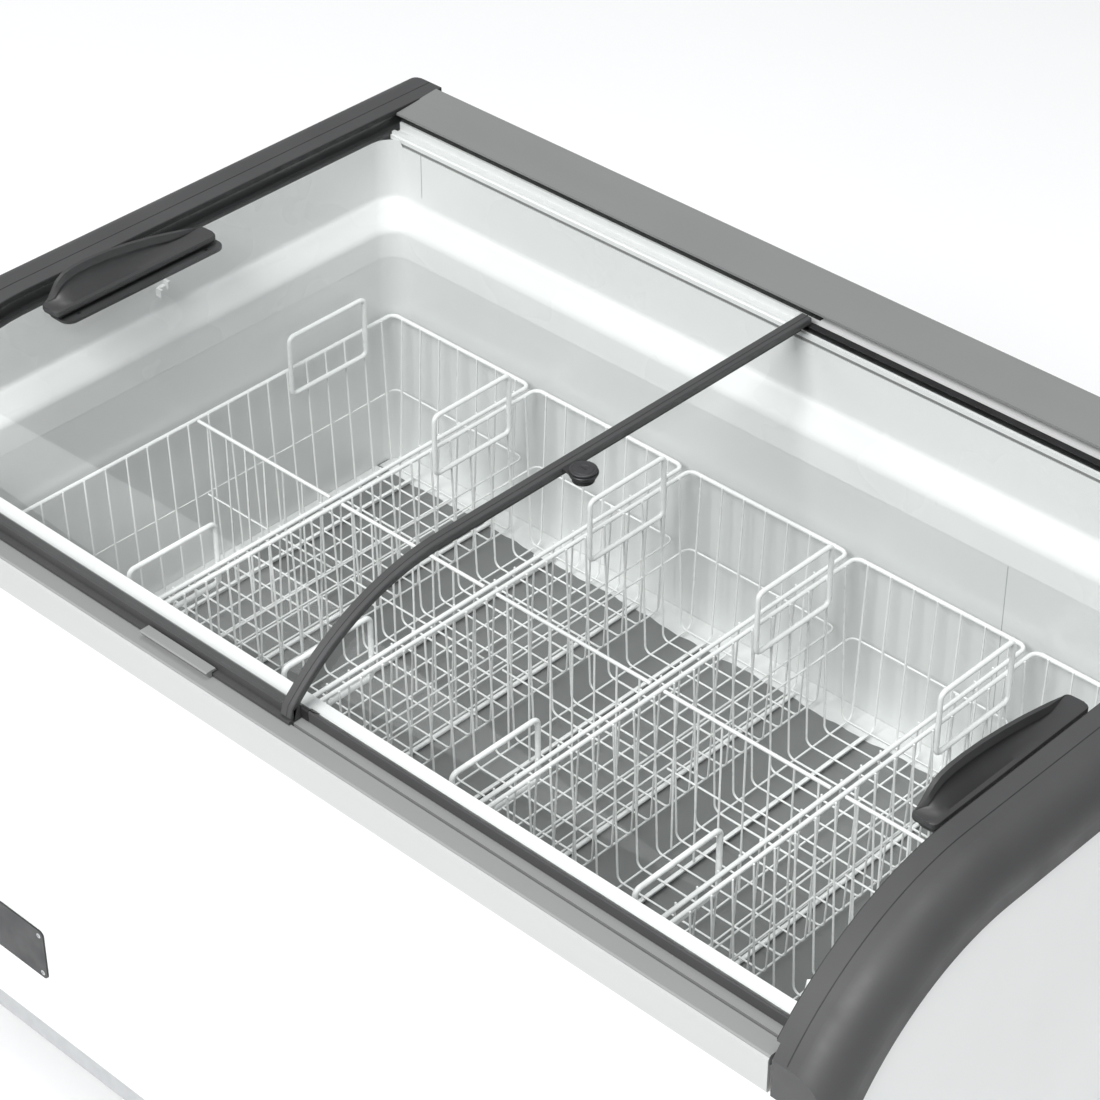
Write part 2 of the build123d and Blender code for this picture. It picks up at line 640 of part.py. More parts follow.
def basket_rods():
    """All the rods of one basket, centred on X = 0."""
    half = WIRE_D / 2
    side_x = RIM_X - RIM_D / 2 - half - 0.1
    side_y = RIM_Y - RIM_D / 2 - half - 0.1
    foot_x = side_x - TAPER
    foot_y = side_y - TAPER
    mid = (RIM_Z + BASKET_FLOOR) / 2
    mid_x = (side_x + foot_x) / 2 + WIRE_D + 0.1
    mid_y = (side_y + foot_y) / 2 + WIRE_D + 0.1
    top = RIM_Z
    lower = BASKET_FLOOR - WIRE_D - 0.05
    runner_z = lower - half - RUNNER_D / 2 - 0.05
    rows = [WIRE_GAP_Y * (n - (LONG_WIRES - 1) / 2) for n in range(LONG_WIRES)]
    columns = [WIRE_GAP_X * (n - (END_WIRES - 1) / 2) for n in range(END_WIRES)]
    rods = []
    # rim and mid ring
    rods += rods_y([(-RIM_X, RIM_Z), (RIM_X, RIM_Z)], -RIM_Y - RIM_D / 2, RIM_Y + RIM_D / 2, RIM_D)
    inside = RIM_X - RIM_D / 2 - 0.02
    rods += rods_x([(-RIM_Y, RIM_Z), (RIM_Y, RIM_Z)], -inside, inside, RIM_D)
    rods += rods_y([(-mid_x, mid), (mid_x, mid)], -mid_y + half + 0.02, mid_y - half - 0.02, WIRE_D)
    rods += rods_x([(-mid_y, mid), (mid_y, mid)], -mid_x - half, mid_x + half, WIRE_D)
    # walls
    for side in (-1, 1):
        rods += rods_z([(side * side_x, y) for y in rows], BASKET_FLOOR + half + 0.05, top, WIRE_D,
                       (-side * TAPER, 0))
        rods += rods_z([(x, side * side_y) for x in columns], BASKET_FLOOR - half, top, WIRE_D,
                       (0, -side * TAPER))
    # bottom grid and the two runners below it
    rods += rods_x([(y, BASKET_FLOOR) for y in rows], -foot_x, foot_x, WIRE_D)
    rods += rods_y([(x, lower) for x in columns], -foot_y, foot_y, WIRE_D)
    rods += rods_y([(-60, runner_z), (60, runner_z)], -foot_y + 6, foot_y - 6, RUNNER_D)
    # divider
    reach = side_x - half - 0.1
    rods += rods_x([(0, RIM_Z)], -reach, reach, 4.0)
    rods += rods_x([(half + 1.2, mid)], -reach + 5, reach - 5, WIRE_D)
    rods += rods_z([(x, 0) for x in columns], BASKET_FLOOR + half + 0.05, RIM_Z - 2.05, WIRE_D)
    # lifting handles: rear one on the left wall, front one on the right wall
    loop_x = side_x - half - LOOP_D / 2 - 0.15
    for side, centre in ((-1, LOOP_REAR), (1, LOOP_FRONT)):
        x = side * loop_x
        rods += rods_y([(x, LOOP_HIGH), (x, LOOP_LOW)], centre - LOOP_Y - LOOP_D / 2,
                       centre + LOOP_Y + LOOP_D / 2, LOOP_D)
        rods += rods_z([(x, centre - LOOP_Y), (x, centre + LOOP_Y)], LOOP_LOW + LOOP_D / 2 + 0.02,
                       LOOP_HIGH - LOOP_D / 2 - 0.02, LOOP_D)
    return rods


def make_baskets():
    rods = basket_rods()
    for number in range(BASKETS):
        shift = Location((PITCH * (number - (BASKETS - 1) / 2), 0, 0))
        save_group([rod.moved(shift) for rod in rods], f"basket_{number + 1}")


# ---- machine bay -----------------------------------------------------------------------------
def make_compressor():
    """Hermetic compressor: welded shell on a foot plate, with its terminal box."""
    x, y = 150.0, 90.0
    z = BASE_Z + 2.5
    shell_r, shell_high = 76.0, 165.0
    with BuildPart() as compressor:
        with BuildSketch(Plane.XY.offset(z)):
            with Locations((x, y)):
                RectangleRounded(190, 120, 12)
        extrude(amount=3)
        with BuildSketch(Plane.XY.offset(z + 3)):
            with Locations((x, y)):
                Circle(shell_r)
        extrude(amount=shell_high)
        fillet(compressor.edges().group_by(Axis.Z)[-1], radius=50)
        with Locations((x - shell_r - 6, y, z + 70)):
            Box(34, 60, 60)
    save(compressor, "compressor")


def make_condenser():
    """Finned coil across the air path behind the front grille."""
    with BuildPart() as condenser:
        with Locations((FAN_X, -322, FAN_Z)):
            with GridLocations(8, 1, 36, 1):
                Box(1.2, 44, 190)
        with Locations(*((FAN_X, -322 + 13 * (n % 2) - 6.5, FAN_Z - 75 + 25 * n) for n in range(7))):
            Box(296, 8, 8)
        with Locations((FAN_X - 148, -322, FAN_Z), (FAN_X + 148, -322, FAN_Z)):
            Box(3, 50, 200)
        with Locations((FAN_X, -322, (BASE_Z + 2.5 + FAN_Z - 95) / 2)):
            Box(299, 40, FAN_Z - 95 - BASE_Z - 2.5)
    save(condenser, "condenser")


def make_fan():
    """Fan housing with its motor, and the blades on the motor's shaft."""
    with BuildPart() as fan_housing:
        with Locations((FAN_X, FAN_Y + 8, FAN_Z)):
            Box(224, 30, 224)
        with BuildSketch(Plane.XZ.offset(-(FAN_Y + 8))):
            with Locations((FAN_X, FAN_Z)):
                Circle(104)
        extrude(amount=16, both=True, mode=Mode.SUBTRACT)
        with BuildSketch(Plane.XZ.offset(-(FAN_Y + 45))):
            with Locations((FAN_X, FAN_Z)):
                Circle(26)
        extrude(amount=26)
        with Locations((FAN_X, FAN_Y + 27, FAN_Z)):
            Box(230, 8, 14)
        with BuildSketch(Plane.XZ.offset(-(FAN_Y + 19))):
            with Locations((FAN_X, FAN_Z)):
                Circle(3)
        extrude(amount=14)
        with Locations((FAN_X, FAN_Y + 8, (BASE_Z + 2.5 + FAN_Z - 112) / 2)):
            Box(120, 30, FAN_Z - 112 - BASE_Z - 2.5)
    save(fan_housing, "fan_housing")
    with BuildPart() as fan_blades:
        with BuildSketch(Plane.XZ.offset(-(FAN_Y + 18))):
            with Locations((FAN_X, FAN_Z)):
                Circle(20)
                Circle(3.08, mode=Mode.SUBTRACT)
        extrude(amount=16)
        with BuildSketch(Plane.XZ.offset(-(FAN_Y + 12))):
            for turn in range(5):
                with Locations(Location((FAN_X, FAN_Z), 72 * turn)):
                    with Locations((56, 0)):
                        Ellipse(40, 22)
            with Locations((FAN_X, FAN_Z)):
                Circle(19, mode=Mode.SUBTRACT)
        extrude(amount=3)
    save(fan_blades, "fan_blades")


def make_pipes():
    """Suction and discharge tubes with the filter dryer."""
    with BuildPart() as pipes:
        with BuildLine() as suction:
            FilletPolyline((228, 90, 200), (280, 90, 200), (280, 90, 300), (280, 200, 300),
                           (280, 200, 333), radius=14)
        with BuildSketch(Plane(origin=suction.line @ 0, z_dir=suction.line % 0)):
            Circle(4)
        sweep()
    with BuildPart() as dryer:
        with Locations(Location((330, 60, 130), (0, 90, 0))):
            Cylinder(12, 110)
        with Locations(Location((330, 60, 130), (0, 90, 0))):
            Cylinder(3, 170)
    save_group([pipes.part, dryer.part], "refrigerant_pipes")


def make_controls():
    """Thermostat panel with its knob, and the power inlet on the rear panel."""
    face = -BODY_Y
    with BuildPart() as control_panel:
        with BuildSketch(Plane.XZ.offset(BODY_Y - 2.5)):
            with Locations((PANEL_X, PANEL_Z)):
                RectangleRounded(149.6, 63.6, 5.8)
                with Locations((KNOB_X - PANEL_X, 0)):
                    Circle(4.1, mode=Mode.SUBTRACT)
        extrude(amount=4.5)
    save(control_panel, "control_panel")
    with BuildPart() as knob:
        with BuildSketch(Plane.XZ.offset(BODY_Y + 2.3)):
            with Locations((KNOB_X, PANEL_Z)):
                Circle(15)
        extrude(amount=1.0)
        with BuildSketch(Plane.XZ.offset(BODY_Y - 3)):
            with Locations((KNOB_X, PANEL_Z)):
                Circle(4)
        extrude(amount=5.4)
    save(knob, "thermostat_knob")
    with BuildPart() as power_inlet:
        with BuildSketch(Plane.XZ.offset(face - 1.5)):
            with Locations((INLET_X, INLET_Z)):
                RectangleRounded(44, 37, 4)
        extrude(amount=1.4)
        with BuildSketch(Plane.XZ.offset(face - 0.2)):
            with Locations((INLET_X, INLET_Z)):
                RectangleRounded(33.6, 26.6, 2.8)
        extrude(amount=18)
    save(power_inlet, "power_inlet")


# ---- castors ---------------------------------------------------------------------------------
def make_castors():
    plates = []
    for number, (sx, sy) in enumerate(((-1, -1), (1, -1), (-1, 1), (1, 1)), 1):
        x, y = sx * CASTOR_X, sy * CASTOR_Y
        with BuildPart() as plate:
            with BuildSketch(Plane.XY.offset(BASE_Z - 3)):
                with Locations((x, y)):
                    RectangleRounded(64, 64, 6)
                    Circle(5.05, mode=Mode.SUBTRACT)
            extrude(amount=3)
        plates.append(plate.part)
        wheel_y = y + TRAIL
        with BuildPart() as fork:
            with BuildSketch(Plane.XY.offset(BASE_Z - 9)):
                with Locations((x, y + TRAIL / 2 - 4)):
                    RectangleRounded(32, 36, 8)
            extrude(amount=5.5)
            with Locations((x, y, BASE_Z)):
                Cylinder(5, 18)
            for cheek in (-1, 1):
                with BuildSketch(Plane.YZ.offset(x + cheek * 14.5 - 1.25)):
                    with BuildLine():
                        Polyline((y - 6, BASE_Z - 4), (y + 26, BASE_Z - 4), (wheel_y + 8, WHEEL_R - 4),
                                 (wheel_y, WHEEL_R - 8), (wheel_y - 8, WHEEL_R - 4), close=True)
                    make_face()
                extrude(amount=2.5)
            with Locations(Location((x, wheel_y, WHEEL_R), (0, 90, 0))):
                Cylinder(4, 34)
        save(fork, f"castor_{number}_fork")
        with BuildPart() as wheel:
            with BuildSketch(Plane.YZ.offset(x - WHEEL_W / 2)):
                with Locations((wheel_y, WHEEL_R)):
                    Circle(WHEEL_R)
                    Circle(4.08, mode=Mode.SUBTRACT)
            extrude(amount=WHEEL_W)
            fillet(wheel.edges().filter_by(GeomType.CIRCLE).group_by(SortBy.RADIUS)[-1], radius=3)
        save(wheel, f"castor_{number}_wheel")
    save_group(plates, "castor_plates")


make_inner_tank()
make_tank_floor()
make_floor_flange()
make_drain()
make_evaporator()
make_collar()
make_probe_clip()
make_insulation()
make_front_panel()
make_rear_panel()
make_side_panels()
make_base_pan()
make_grille("front_grille", FAN_X, 350, 190, -BODY_Y, -1)
make_grille("rear_grille", REAR_GRILLE_X, 440, 170, BODY_Y, 1)
make_front_rail()
make_front_trim()
make_rear_rail()
make_end_caps()
make_rail_tab()
make_lids()
make_lock()
make_baskets()
make_compressor()
make_condenser()
make_fan()
make_pipes()
make_controls()
make_castors()
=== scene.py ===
"""Looks of a display chest freezer: two sliding curved-glass lids over five wire baskets.

Metres, in the frame of the CAD model: +X to the customer's right, +Y to the rear, +Z up.
"""
import json
import math

import bmesh
import bpy
from mathutils import Matrix, Vector


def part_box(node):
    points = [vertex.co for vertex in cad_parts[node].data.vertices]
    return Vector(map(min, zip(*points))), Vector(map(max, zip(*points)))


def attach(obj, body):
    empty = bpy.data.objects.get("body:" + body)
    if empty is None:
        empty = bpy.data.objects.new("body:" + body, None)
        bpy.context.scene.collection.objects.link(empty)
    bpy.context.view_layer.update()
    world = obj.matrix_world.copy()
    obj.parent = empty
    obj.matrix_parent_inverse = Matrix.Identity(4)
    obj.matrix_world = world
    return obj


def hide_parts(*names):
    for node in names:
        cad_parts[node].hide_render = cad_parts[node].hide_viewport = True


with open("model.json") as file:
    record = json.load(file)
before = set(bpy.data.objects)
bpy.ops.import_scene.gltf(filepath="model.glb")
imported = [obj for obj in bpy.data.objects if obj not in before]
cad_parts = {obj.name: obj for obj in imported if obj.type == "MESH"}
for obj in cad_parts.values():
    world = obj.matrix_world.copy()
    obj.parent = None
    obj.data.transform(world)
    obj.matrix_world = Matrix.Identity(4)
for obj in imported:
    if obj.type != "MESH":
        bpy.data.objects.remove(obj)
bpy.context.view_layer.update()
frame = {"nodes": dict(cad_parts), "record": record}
nodes = frame["nodes"]

MM = 0.001

# ---- dimensions the CAD model shares --------------------------------------------------------
LID_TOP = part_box("lid_left_glass")[1].z
INNER_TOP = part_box("lid_right_glass")[1].z
GLASS = 4 * MM
BEND_Y = -175 * MM          # the lids are flat behind this line and curved in front of it
BEND_R = 255 * MM           # outer radius of the outer glass
BEND_Z = LID_TOP - BEND_R
CAP_R = BEND_R + 8 * MM     # outer radius of the end caps

TANK_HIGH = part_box("inner_tank")[1]
TANK_CORNER = 26 * MM
SHEET = 1.5 * MM
TANK_X = TANK_HIGH.x - SHEET
TANK_Y = TANK_HIGH.y - SHEET
COLLAR_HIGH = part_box("collar")[1]


# ---- materials ------------------------------------------------------------------------------
class Surface:
    """A Principled material with procedural colour, roughness and bump layers."""

    def __init__(self, name, colour, roughness, metallic=0.0):
        self.name = name
        self.material = bpy.data.materials.new("finish_" + name)
        self.material.use_nodes = True
        self.tree = self.material.node_tree
        self.shader = self.tree.nodes["Principled BSDF"]
        self.colour = colour
        self.set("Base Color", (*colour, 1))
        self.set("Roughness", roughness)
        self.set("Metallic", metallic)
        self.set("Specular IOR Level", 0.5)
        self.normal = None

    def set(self, socket, value):
        """Sets one of the shader's own sockets."""
        self.shader.inputs[socket].default_value = value

    def noise(self, scale, detail=3.0, stretch=(1, 1, 1)):
        """Noise in the object's own coordinates, so it stays on the piece."""
        place = self.tree.nodes.new("ShaderNodeTexCoord")
        mapping = self.tree.nodes.new("ShaderNodeMapping")
        mapping.inputs["Scale"].default_value = stretch
        texture = self.tree.nodes.new("ShaderNodeTexNoise")
        texture.inputs["Scale"].default_value = scale
        texture.inputs["Detail"].default_value = detail
        self.tree.links.new(place.outputs["Object"], mapping.inputs["Vector"])
        self.tree.links.new(mapping.outputs["Vector"], texture.inputs["Vector"])
        return texture.outputs["Fac"]

    def spread(self, source, low, high, start=0.3, end=0.7):
        """source, from start to end, as a number from low to high."""
        ranged = self.tree.nodes.new("ShaderNodeMapRange")
        ranged.inputs["From Min"].default_value = start
        ranged.inputs["From Max"].default_value = end
        ranged.inputs["To Min"].default_value = low
        ranged.inputs["To Max"].default_value = high
        self.tree.links.new(source, ranged.inputs["Value"])
        return ranged.outputs["Result"]

    def cloud(self, other, scale, stretch=(1, 1, 1), detail=4.0, start=0.3, end=0.7):
        """Drifts the colour towards another one in soft patches."""
        mix = self.tree.nodes.new("ShaderNodeMix")
        mix.data_type = "RGBA"
        mix.inputs["A"].default_value = (*self.colour, 1)
        mix.inputs["B"].default_value = (*other, 1)
        share = self.spread(self.noise(scale, detail, stretch), 0, 1, start, end)
        self.tree.links.new(share, mix.inputs["Factor"])
        self.tree.links.new(mix.outputs["Result"], self.shader.inputs["Base Color"])
        return self

    def rough(self, low, high, scale, stretch=(1, 1, 1)):
        """Varies the roughness between two values."""
        source = self.spread(self.noise(scale, 3.0, stretch), low, high)
        self.tree.links.new(source, self.shader.inputs["Roughness"])
        return self

    def bump(self, scale, depth, strength=0.5, stretch=(1, 1, 1), detail=3.0):
        """Adds a layer of relief of this depth in metres."""
        relief = self.tree.nodes.new("ShaderNodeBump")
        relief.inputs["Strength"].default_value = strength
        relief.inputs["Distance"].default_value = depth
        self.tree.links.new(self.noise(scale, detail, stretch), relief.inputs["Height"])
        if self.normal is not None:
            self.tree.links.new(self.normal, relief.inputs["Normal"])
        self.normal = relief.outputs["Normal"]
        self.tree.links.new(self.normal, self.shader.inputs["Normal"])
        return self


def make_glass():
    """Clear pane: what is behind shows through, and the surface mirrors more at a low angle."""
    surface = Surface("lid_glass", (0.95, 0.97, 0.965), 0.02, metallic=1.0)
    tree = surface.tree
    clear = tree.nodes.new("ShaderNodeBsdfTransparent")
    clear.inputs["Color"].default_value = (0.985, 0.992, 0.989, 1)
    weight = tree.nodes.new("ShaderNodeLayerWeight")
    weight.inputs["Blend"].default_value = 0.04
    mix = tree.nodes.new("ShaderNodeMixShader")
    tree.links.new(weight.outputs["Facing"], mix.inputs["Fac"])
    tree.links.new(clear.outputs["BSDF"], mix.inputs[1])
    tree.links.new(surface.shader.outputs["BSDF"], mix.inputs[2])
    tree.links.new(mix.outputs["Shader"], tree.nodes["Material Output"].inputs["Surface"])
    return surface.material


def make_materials():
    """One finish for each material slot of the record, and a few for the added pieces."""
    made = {}

    def keep(surface):
        made[surface.name] = surface.material

    keep(Surface("sheet_steel_white", (0.86, 0.87, 0.865), 0.34)
         .cloud((0.83, 0.84, 0.835), 3).rough(0.28, 0.42, 9).bump(520, 0.00012, 0.35))
    keep(Surface("zinc_steel", (0.55, 0.56, 0.57), 0.42, metallic=1.0)
         .cloud((0.51, 0.52, 0.53), 70, detail=6).rough(0.36, 0.5, 80).bump(240, 0.00008, 0.4))
    keep(Surface("collar_plastic", (0.84, 0.845, 0.842), 0.26)
         .cloud((0.80, 0.805, 0.80), 2.2).rough(0.2, 0.36, 7)
         .bump(30, 0.0004, 0.12).bump(620, 0.00006, 0.25))
    keep(Surface("tank_metal", (0.80, 0.81, 0.806), 0.36, metallic=0.15)
         .cloud((0.75, 0.76, 0.756), 3.5, (1, 1, 0.35)).rough(0.28, 0.44, 5, (1, 1, 0.3))
         .bump(14, 0.0006, 0.10).bump(480, 0.00005, 0.3))
    # Darker copy of the tank metal for the tank's floor: its dark base colour is painted shade for the
    # shadow low in the tank
    keep(Surface("tank_floor_metal_painted_shade", (0.25, 0.254, 0.252), 0.40, metallic=0.5)
         .cloud((0.21, 0.214, 0.212), 6).rough(0.34, 0.52, 8).bump(420, 0.00006, 0.3))
    keep(Surface("flange_white", (0.80, 0.805, 0.80), 0.38)
         .cloud((0.72, 0.725, 0.72), 60).rough(0.3, 0.5, 70).bump(260, 0.0003, 0.5))
    keep(Surface("rail_grey", (0.265, 0.268, 0.266), 0.42)
         .cloud((0.25, 0.253, 0.251), 5).rough(0.34, 0.5, 40, (0.1, 1, 1))
         .bump(420, 0.00006, 0.35, (0.15, 1, 1)))
    keep(Surface("rear_rail_grey", (0.215, 0.219, 0.216), 0.46)
         .cloud((0.20, 0.203, 0.201), 5).rough(0.38, 0.54, 40, (0.1, 1, 1))
         .bump(420, 0.00006, 0.35, (0.15, 1, 1)))
    keep(Surface("trim_pale", (0.48, 0.487, 0.484), 0.38)
         .cloud((0.46, 0.466, 0.463), 4).rough(0.3, 0.46, 30, (0.1, 1, 1))
         .bump(500, 0.00005, 0.3, (0.2, 1, 1)))
    keep(Surface("cap_dark", (0.060, 0.060, 0.061), 0.50)
         .cloud((0.053, 0.053, 0.054), 12).rough(0.44, 0.6, 25).bump(900, 0.00010, 0.45))
    keep(Surface("strip_dark", (0.062, 0.062, 0.063), 0.46)
         .cloud((0.055, 0.055, 0.056), 20).rough(0.38, 0.54, 60).bump(1000, 0.00006, 0.4))
    keep(Surface("handle_dark", (0.045, 0.045, 0.046), 0.46)
         .cloud((0.040, 0.040, 0.041), 22).rough(0.4, 0.56, 30).bump(1100, 0.00009, 0.5))
    keep(Surface("screw_steel", (0.05, 0.05, 0.052), 0.35, metallic=0.8).rough(0.25, 0.45, 300))
    keep(Surface("basket_wire", (0.87, 0.875, 0.87), 0.30)
         .cloud((0.83, 0.835, 0.83), 80).rough(0.22, 0.4, 120).bump(350, 0.0001, 0.35))
    keep(Surface("foam", (0.78, 0.66, 0.36), 0.9).cloud((0.70, 0.58, 0.30), 30).bump(300, 0.001, 0.8))
    keep(Surface("aluminium", (0.70, 0.71, 0.72), 0.38, metallic=1.0)
         .cloud((0.62, 0.63, 0.64), 30).rough(0.3, 0.5, 80).bump(300, 0.00008, 0.3))
    keep(Surface("black_steel", (0.018, 0.018, 0.019), 0.34)
         .cloud((0.03, 0.03, 0.031), 20).rough(0.26, 0.46, 40).bump(300, 0.00015, 0.4))
    keep(Surface("copper", (0.72, 0.40, 0.26), 0.34, metallic=1.0)
         .cloud((0.48, 0.25, 0.17), 25, detail=6).rough(0.26, 0.5, 60).bump(200, 0.00008, 0.3))
    keep(Surface("black_plastic", (0.030, 0.030, 0.032), 0.48)
         .cloud((0.038, 0.038, 0.04), 20).rough(0.4, 0.58, 40).bump(800, 0.00010, 0.5))
    keep(Surface("drain_plastic", (0.74, 0.74, 0.73), 0.4)
         .cloud((0.66, 0.66, 0.65), 20).rough(0.34, 0.5, 50).bump(400, 0.0001, 0.3))
    keep(Surface("lock_black", (0.022, 0.022, 0.023), 0.40)
         .cloud((0.028, 0.028, 0.03), 90).rough(0.32, 0.5, 150).bump(900, 0.00008, 0.5))
    keep(Surface("lock_steel", (0.055, 0.055, 0.057), 0.42, metallic=0.3)
         .cloud((0.045, 0.045, 0.047), 150).rough(0.34, 0.52, 200).bump(900, 0.00006, 0.4))
    keep(Surface("castor_steel", (0.58, 0.59, 0.60), 0.34, metallic=1.0)
         .cloud((0.48, 0.49, 0.50), 60, detail=6).rough(0.26, 0.48, 90).bump(300, 0.00008, 0.3))
    keep(Surface("wheel_rubber", (0.035, 0.035, 0.037), 0.66)
         .cloud((0.055, 0.054, 0.053), 50, detail=6).rough(0.55, 0.8, 60).bump(600, 0.0002, 0.6))
    keep(Surface("seal_black", (0.012, 0.012, 0.013), 0.62)
         .cloud((0.02, 0.02, 0.021), 60).rough(0.5, 0.72, 90).bump(900, 0.00012, 0.5))
    keep(Surface("seam_grey", (0.40, 0.405, 0.402), 0.55)
         .cloud((0.34, 0.343, 0.34), 40).rough(0.45, 0.65, 60).bump(500, 0.00008, 0.3))
    keep(Surface("floor", (0.96, 0.96, 0.96), 0.7).cloud((0.94, 0.94, 0.94), 1.5).bump(60, 0.0004, 0.1))
    made["lid_glass"] = make_glass()
    return made


MATERIALS = make_materials()
# the tank's floor takes the darker copy of the tank metal, whose dark colour is painted shade
OWN_FINISH = {"tank_floor": "tank_floor_metal_painted_shade", "rear_rail": "rear_rail_grey",
              "lid_left_rear_strip": "seal_black", "lid_right_rear_strip": "seal_black"}


def paint_cad():
    """Every CAD node takes the finish of its slot, or its own one."""
    for part in frame["record"]["subparts"]:
        name = part["node"]
        finish = MATERIALS[OWN_FINISH.get(name, part["material_slot"])]
        for place in nodes[name].material_slots:
            place.material = finish


# ---- mesh helpers ---------------------------------------------------------------------------
def piece(name, bm, body, slot, finish=None, replaces=(), smooth=40):
    """Turns a bmesh into a shown piece that rides on a body."""
    bmesh.ops.remove_doubles(bm, verts=bm.verts, dist=1e-6)
    bmesh.ops.recalc_face_normals(bm, faces=bm.faces)
    mesh = bpy.data.meshes.new(name)
    bm.to_mesh(mesh)
    bm.free()
    mesh.shade_smooth()
    mesh.set_sharp_from_angle(angle=math.radians(smooth))
    mesh.materials.append(MATERIALS[finish or slot])
    made = bpy.data.objects.new(name, mesh)
    bpy.context.scene.collection.objects.link(made)
    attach(made, body)
    if replaces:
        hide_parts(*replaces)


def bridge(bm, rings):
    """Quads between closed rings of vertices."""
    count = len(rings[0])
    for near, far in zip(rings, rings[1:]):
        for n in range(count):
            m = (n + 1) % count
            bm.faces.new((near[n], near[m], far[m], far[n]))


def cap_ends(bm, rings):
    """Closes a run of rings at both ends."""
    bm.faces.new(rings[0])
    bm.faces.new(reversed(rings[-1]))


def loft(bm, sections):
    """Solid through closed sections, each a list of points."""
    rings = [[bm.verts.new(p) for p in section] for section in sections]
    bridge(bm, rings)
    cap_ends(bm, rings)


def rounded(corners, radius, steps=6, closed=False):
    """Points along straight runs with a round bend at each inner corner."""
    count = len(corners)
    path = []
    for n, corner in enumerate(corners):
        corner = Vector(corner)
        if not closed and n in (0, count - 1):
            path.append(corner)
            continue
        back = (Vector(corners[n - 1]) - corner).normalized()
        ahead = (Vector(corners[(n + 1) % count]) - corner).normalized()
        half = back.angle(ahead) / 2
        reach = radius / math.tan(half)
        centre = corner + (back + ahead).normalized() * radius / math.sin(half)
        start, end = corner + back * reach, corner + ahead * reach
        turn = (start - centre).angle(end - centre)
        axis = (start - centre).cross(end - centre).normalized()
        for k in range(steps + 1):
            path.append(centre + Matrix.Rotation(turn * k / steps, 3, axis) @ (start - centre))
    return path


def tube(bm, path, radius, sides=8, closed=False):
    """Round wire along a path, without twist."""
    count = len(path)
    rings = []
    normal = None
    for n, point in enumerate(path):
        before = path[n - 1] if closed or n else point
        after = path[(n + 1) % count] if closed or n < count - 1 else point
        along = (Vector(after) - Vector(before)).normalized()
        if normal is None:
            normal = along.orthogonal().normalized()
        normal = (normal - along * normal.dot(along)).normalized()
        across = along.cross(normal)
        ring = []
        for k in range(sides):
            a = 2 * math.pi * k / sides
            ring.append(bm.verts.new(Vector(point) + (normal * math.cos(a) + across * math.sin(a)) * radius))
        rings.append(ring)
    bridge(bm, rings)
    if closed:
        first, last = rings[0], rings[-1]
        # the ring nearest in turn joins the end to the start
        shift = min(range(sides), key=lambda s: (first[s].co - last[0].co).length)
        for k in range(sides):
            a, b = first[(k + shift) % sides], first[(k + 1 + shift) % sides]
            bm.faces.new((last[k], last[(k + 1) % sides], b, a))
    else:
        cap_ends(bm, rings)


def lid_point(x, radius, station):
    """Point on the lids' curve: station is a Y on the flat part, or an angle on the bend."""
    kind, value = station
    if kind == "flat":
        return Vector((x, value, BEND_Z + radius))
    return Vector((x, BEND_Y - radius * math.sin(value), BEND_Z + radius * math.cos(value)))


def lid_stations(y_rear, angle, turns=28, runs=6):
    """Stations from y_rear forwards to this angle on the bend."""
    flat = [("flat", y_rear + (BEND_Y - y_rear) * n / runs) for n in range(runs)]
    return flat + [("bend", angle * n / turns) for n in range(turns + 1)]


def angle_at(radius, y):
    """Angle on the bend where this radius reaches y."""
    return math.asin((BEND_Y - y) / radius)


def follow_lid(bm, section, stations):
    """Solid with this (x, radius) section along the lids' curve."""
    loft(bm, [[lid_point(x, r, s) for x, r in section] for s in stations])


def outline(half_x, half_y, radius, steps=8, centre_y=0.0, runs=1):
    """Rounded rectangle, as (x, y) points, with each straight side in this many runs."""
    quarters = ((1, 1), (-1, 1), (-1, -1), (1, -1))

    def on_corner(corner, turns):
        sx, sy = corner
        a = math.pi / 2 * turns
        return (sx * (half_x - radius) + radius * math.cos(a),
                centre_y + sy * (half_y - radius) + radius * math.sin(a))

    points = []
    for quarter, corner in enumerate(quarters):
        for k in range(steps + 1):
            points.append(on_corner(corner, quarter + k / steps))
        start, end = points[-1], on_corner(quarters[(quarter + 1) % 4], quarter + 1)
        for k in range(1, runs):
            t = k / runs
            points.append((start[0] + (end[0] - start[0]) * t, start[1] + (end[1] - start[1]) * t))
    return points


def box(bm, low, high):
    """Block between two corners."""
    x0, y0, z0 = low
    x1, y1, z1 = high
    loft(bm, [[(x0, y0, z), (x1, y0, z), (x1, y1, z), (x0, y1, z)] for z in (z0, z1)])


def turned(bm, centre, radii_heights, sides):
    """Turned solid about Z through (radius, height) pairs."""
    x, y = centre
    sections = []
    for radius, z in radii_heights:
        sections.append([(x + radius * math.cos(2 * math.pi * k / sides),
                          y + radius * math.sin(2 * math.pi * k / sides), z) for k in range(sides)])
    loft(bm, sections)


# ---- baskets --------------------------------------------------------------------------------
RIM_X, RIM_Y, RIM_Z = 102.7 * MM, 282.7 * MM, 591 * MM
RIM_R = 2.4 * MM
WIRE_R = 1.1 * MM
LOOP_R = 2.75 * MM
BASKET_FLOOR = 408.5 * MM
TAPER = 8.5 * MM
WIRE_GAP_Y, LONG_WIRES = 27.6 * MM, 20
WIRE_GAP_X, END_WIRES = 28.4 * MM, 7
LOOP_HALF = 54 * MM
LOOP_LOW, LOOP_HIGH = 564.5 * MM, 635 * MM
LOOP_REAR, LOOP_FRONT = 180.5 * MM, -201 * MM
LOOP_BEND = 6.5 * MM
RUNNER_R = 2.5 * MM
RUNNER_X, RUNNER_INSET = 60 * MM, 6 * MM
DIVIDER_R = 2.0 * MM
RIM_BEND = 9 * MM
WIRE_BEND = 8 * MM
WELD = 0.2 * MM             # how far crossing wires sink into each other
WIRE_SIDES, RUNNER_SIDES, RIM_SIDES = 6, 8, 10
BASKETS = 5


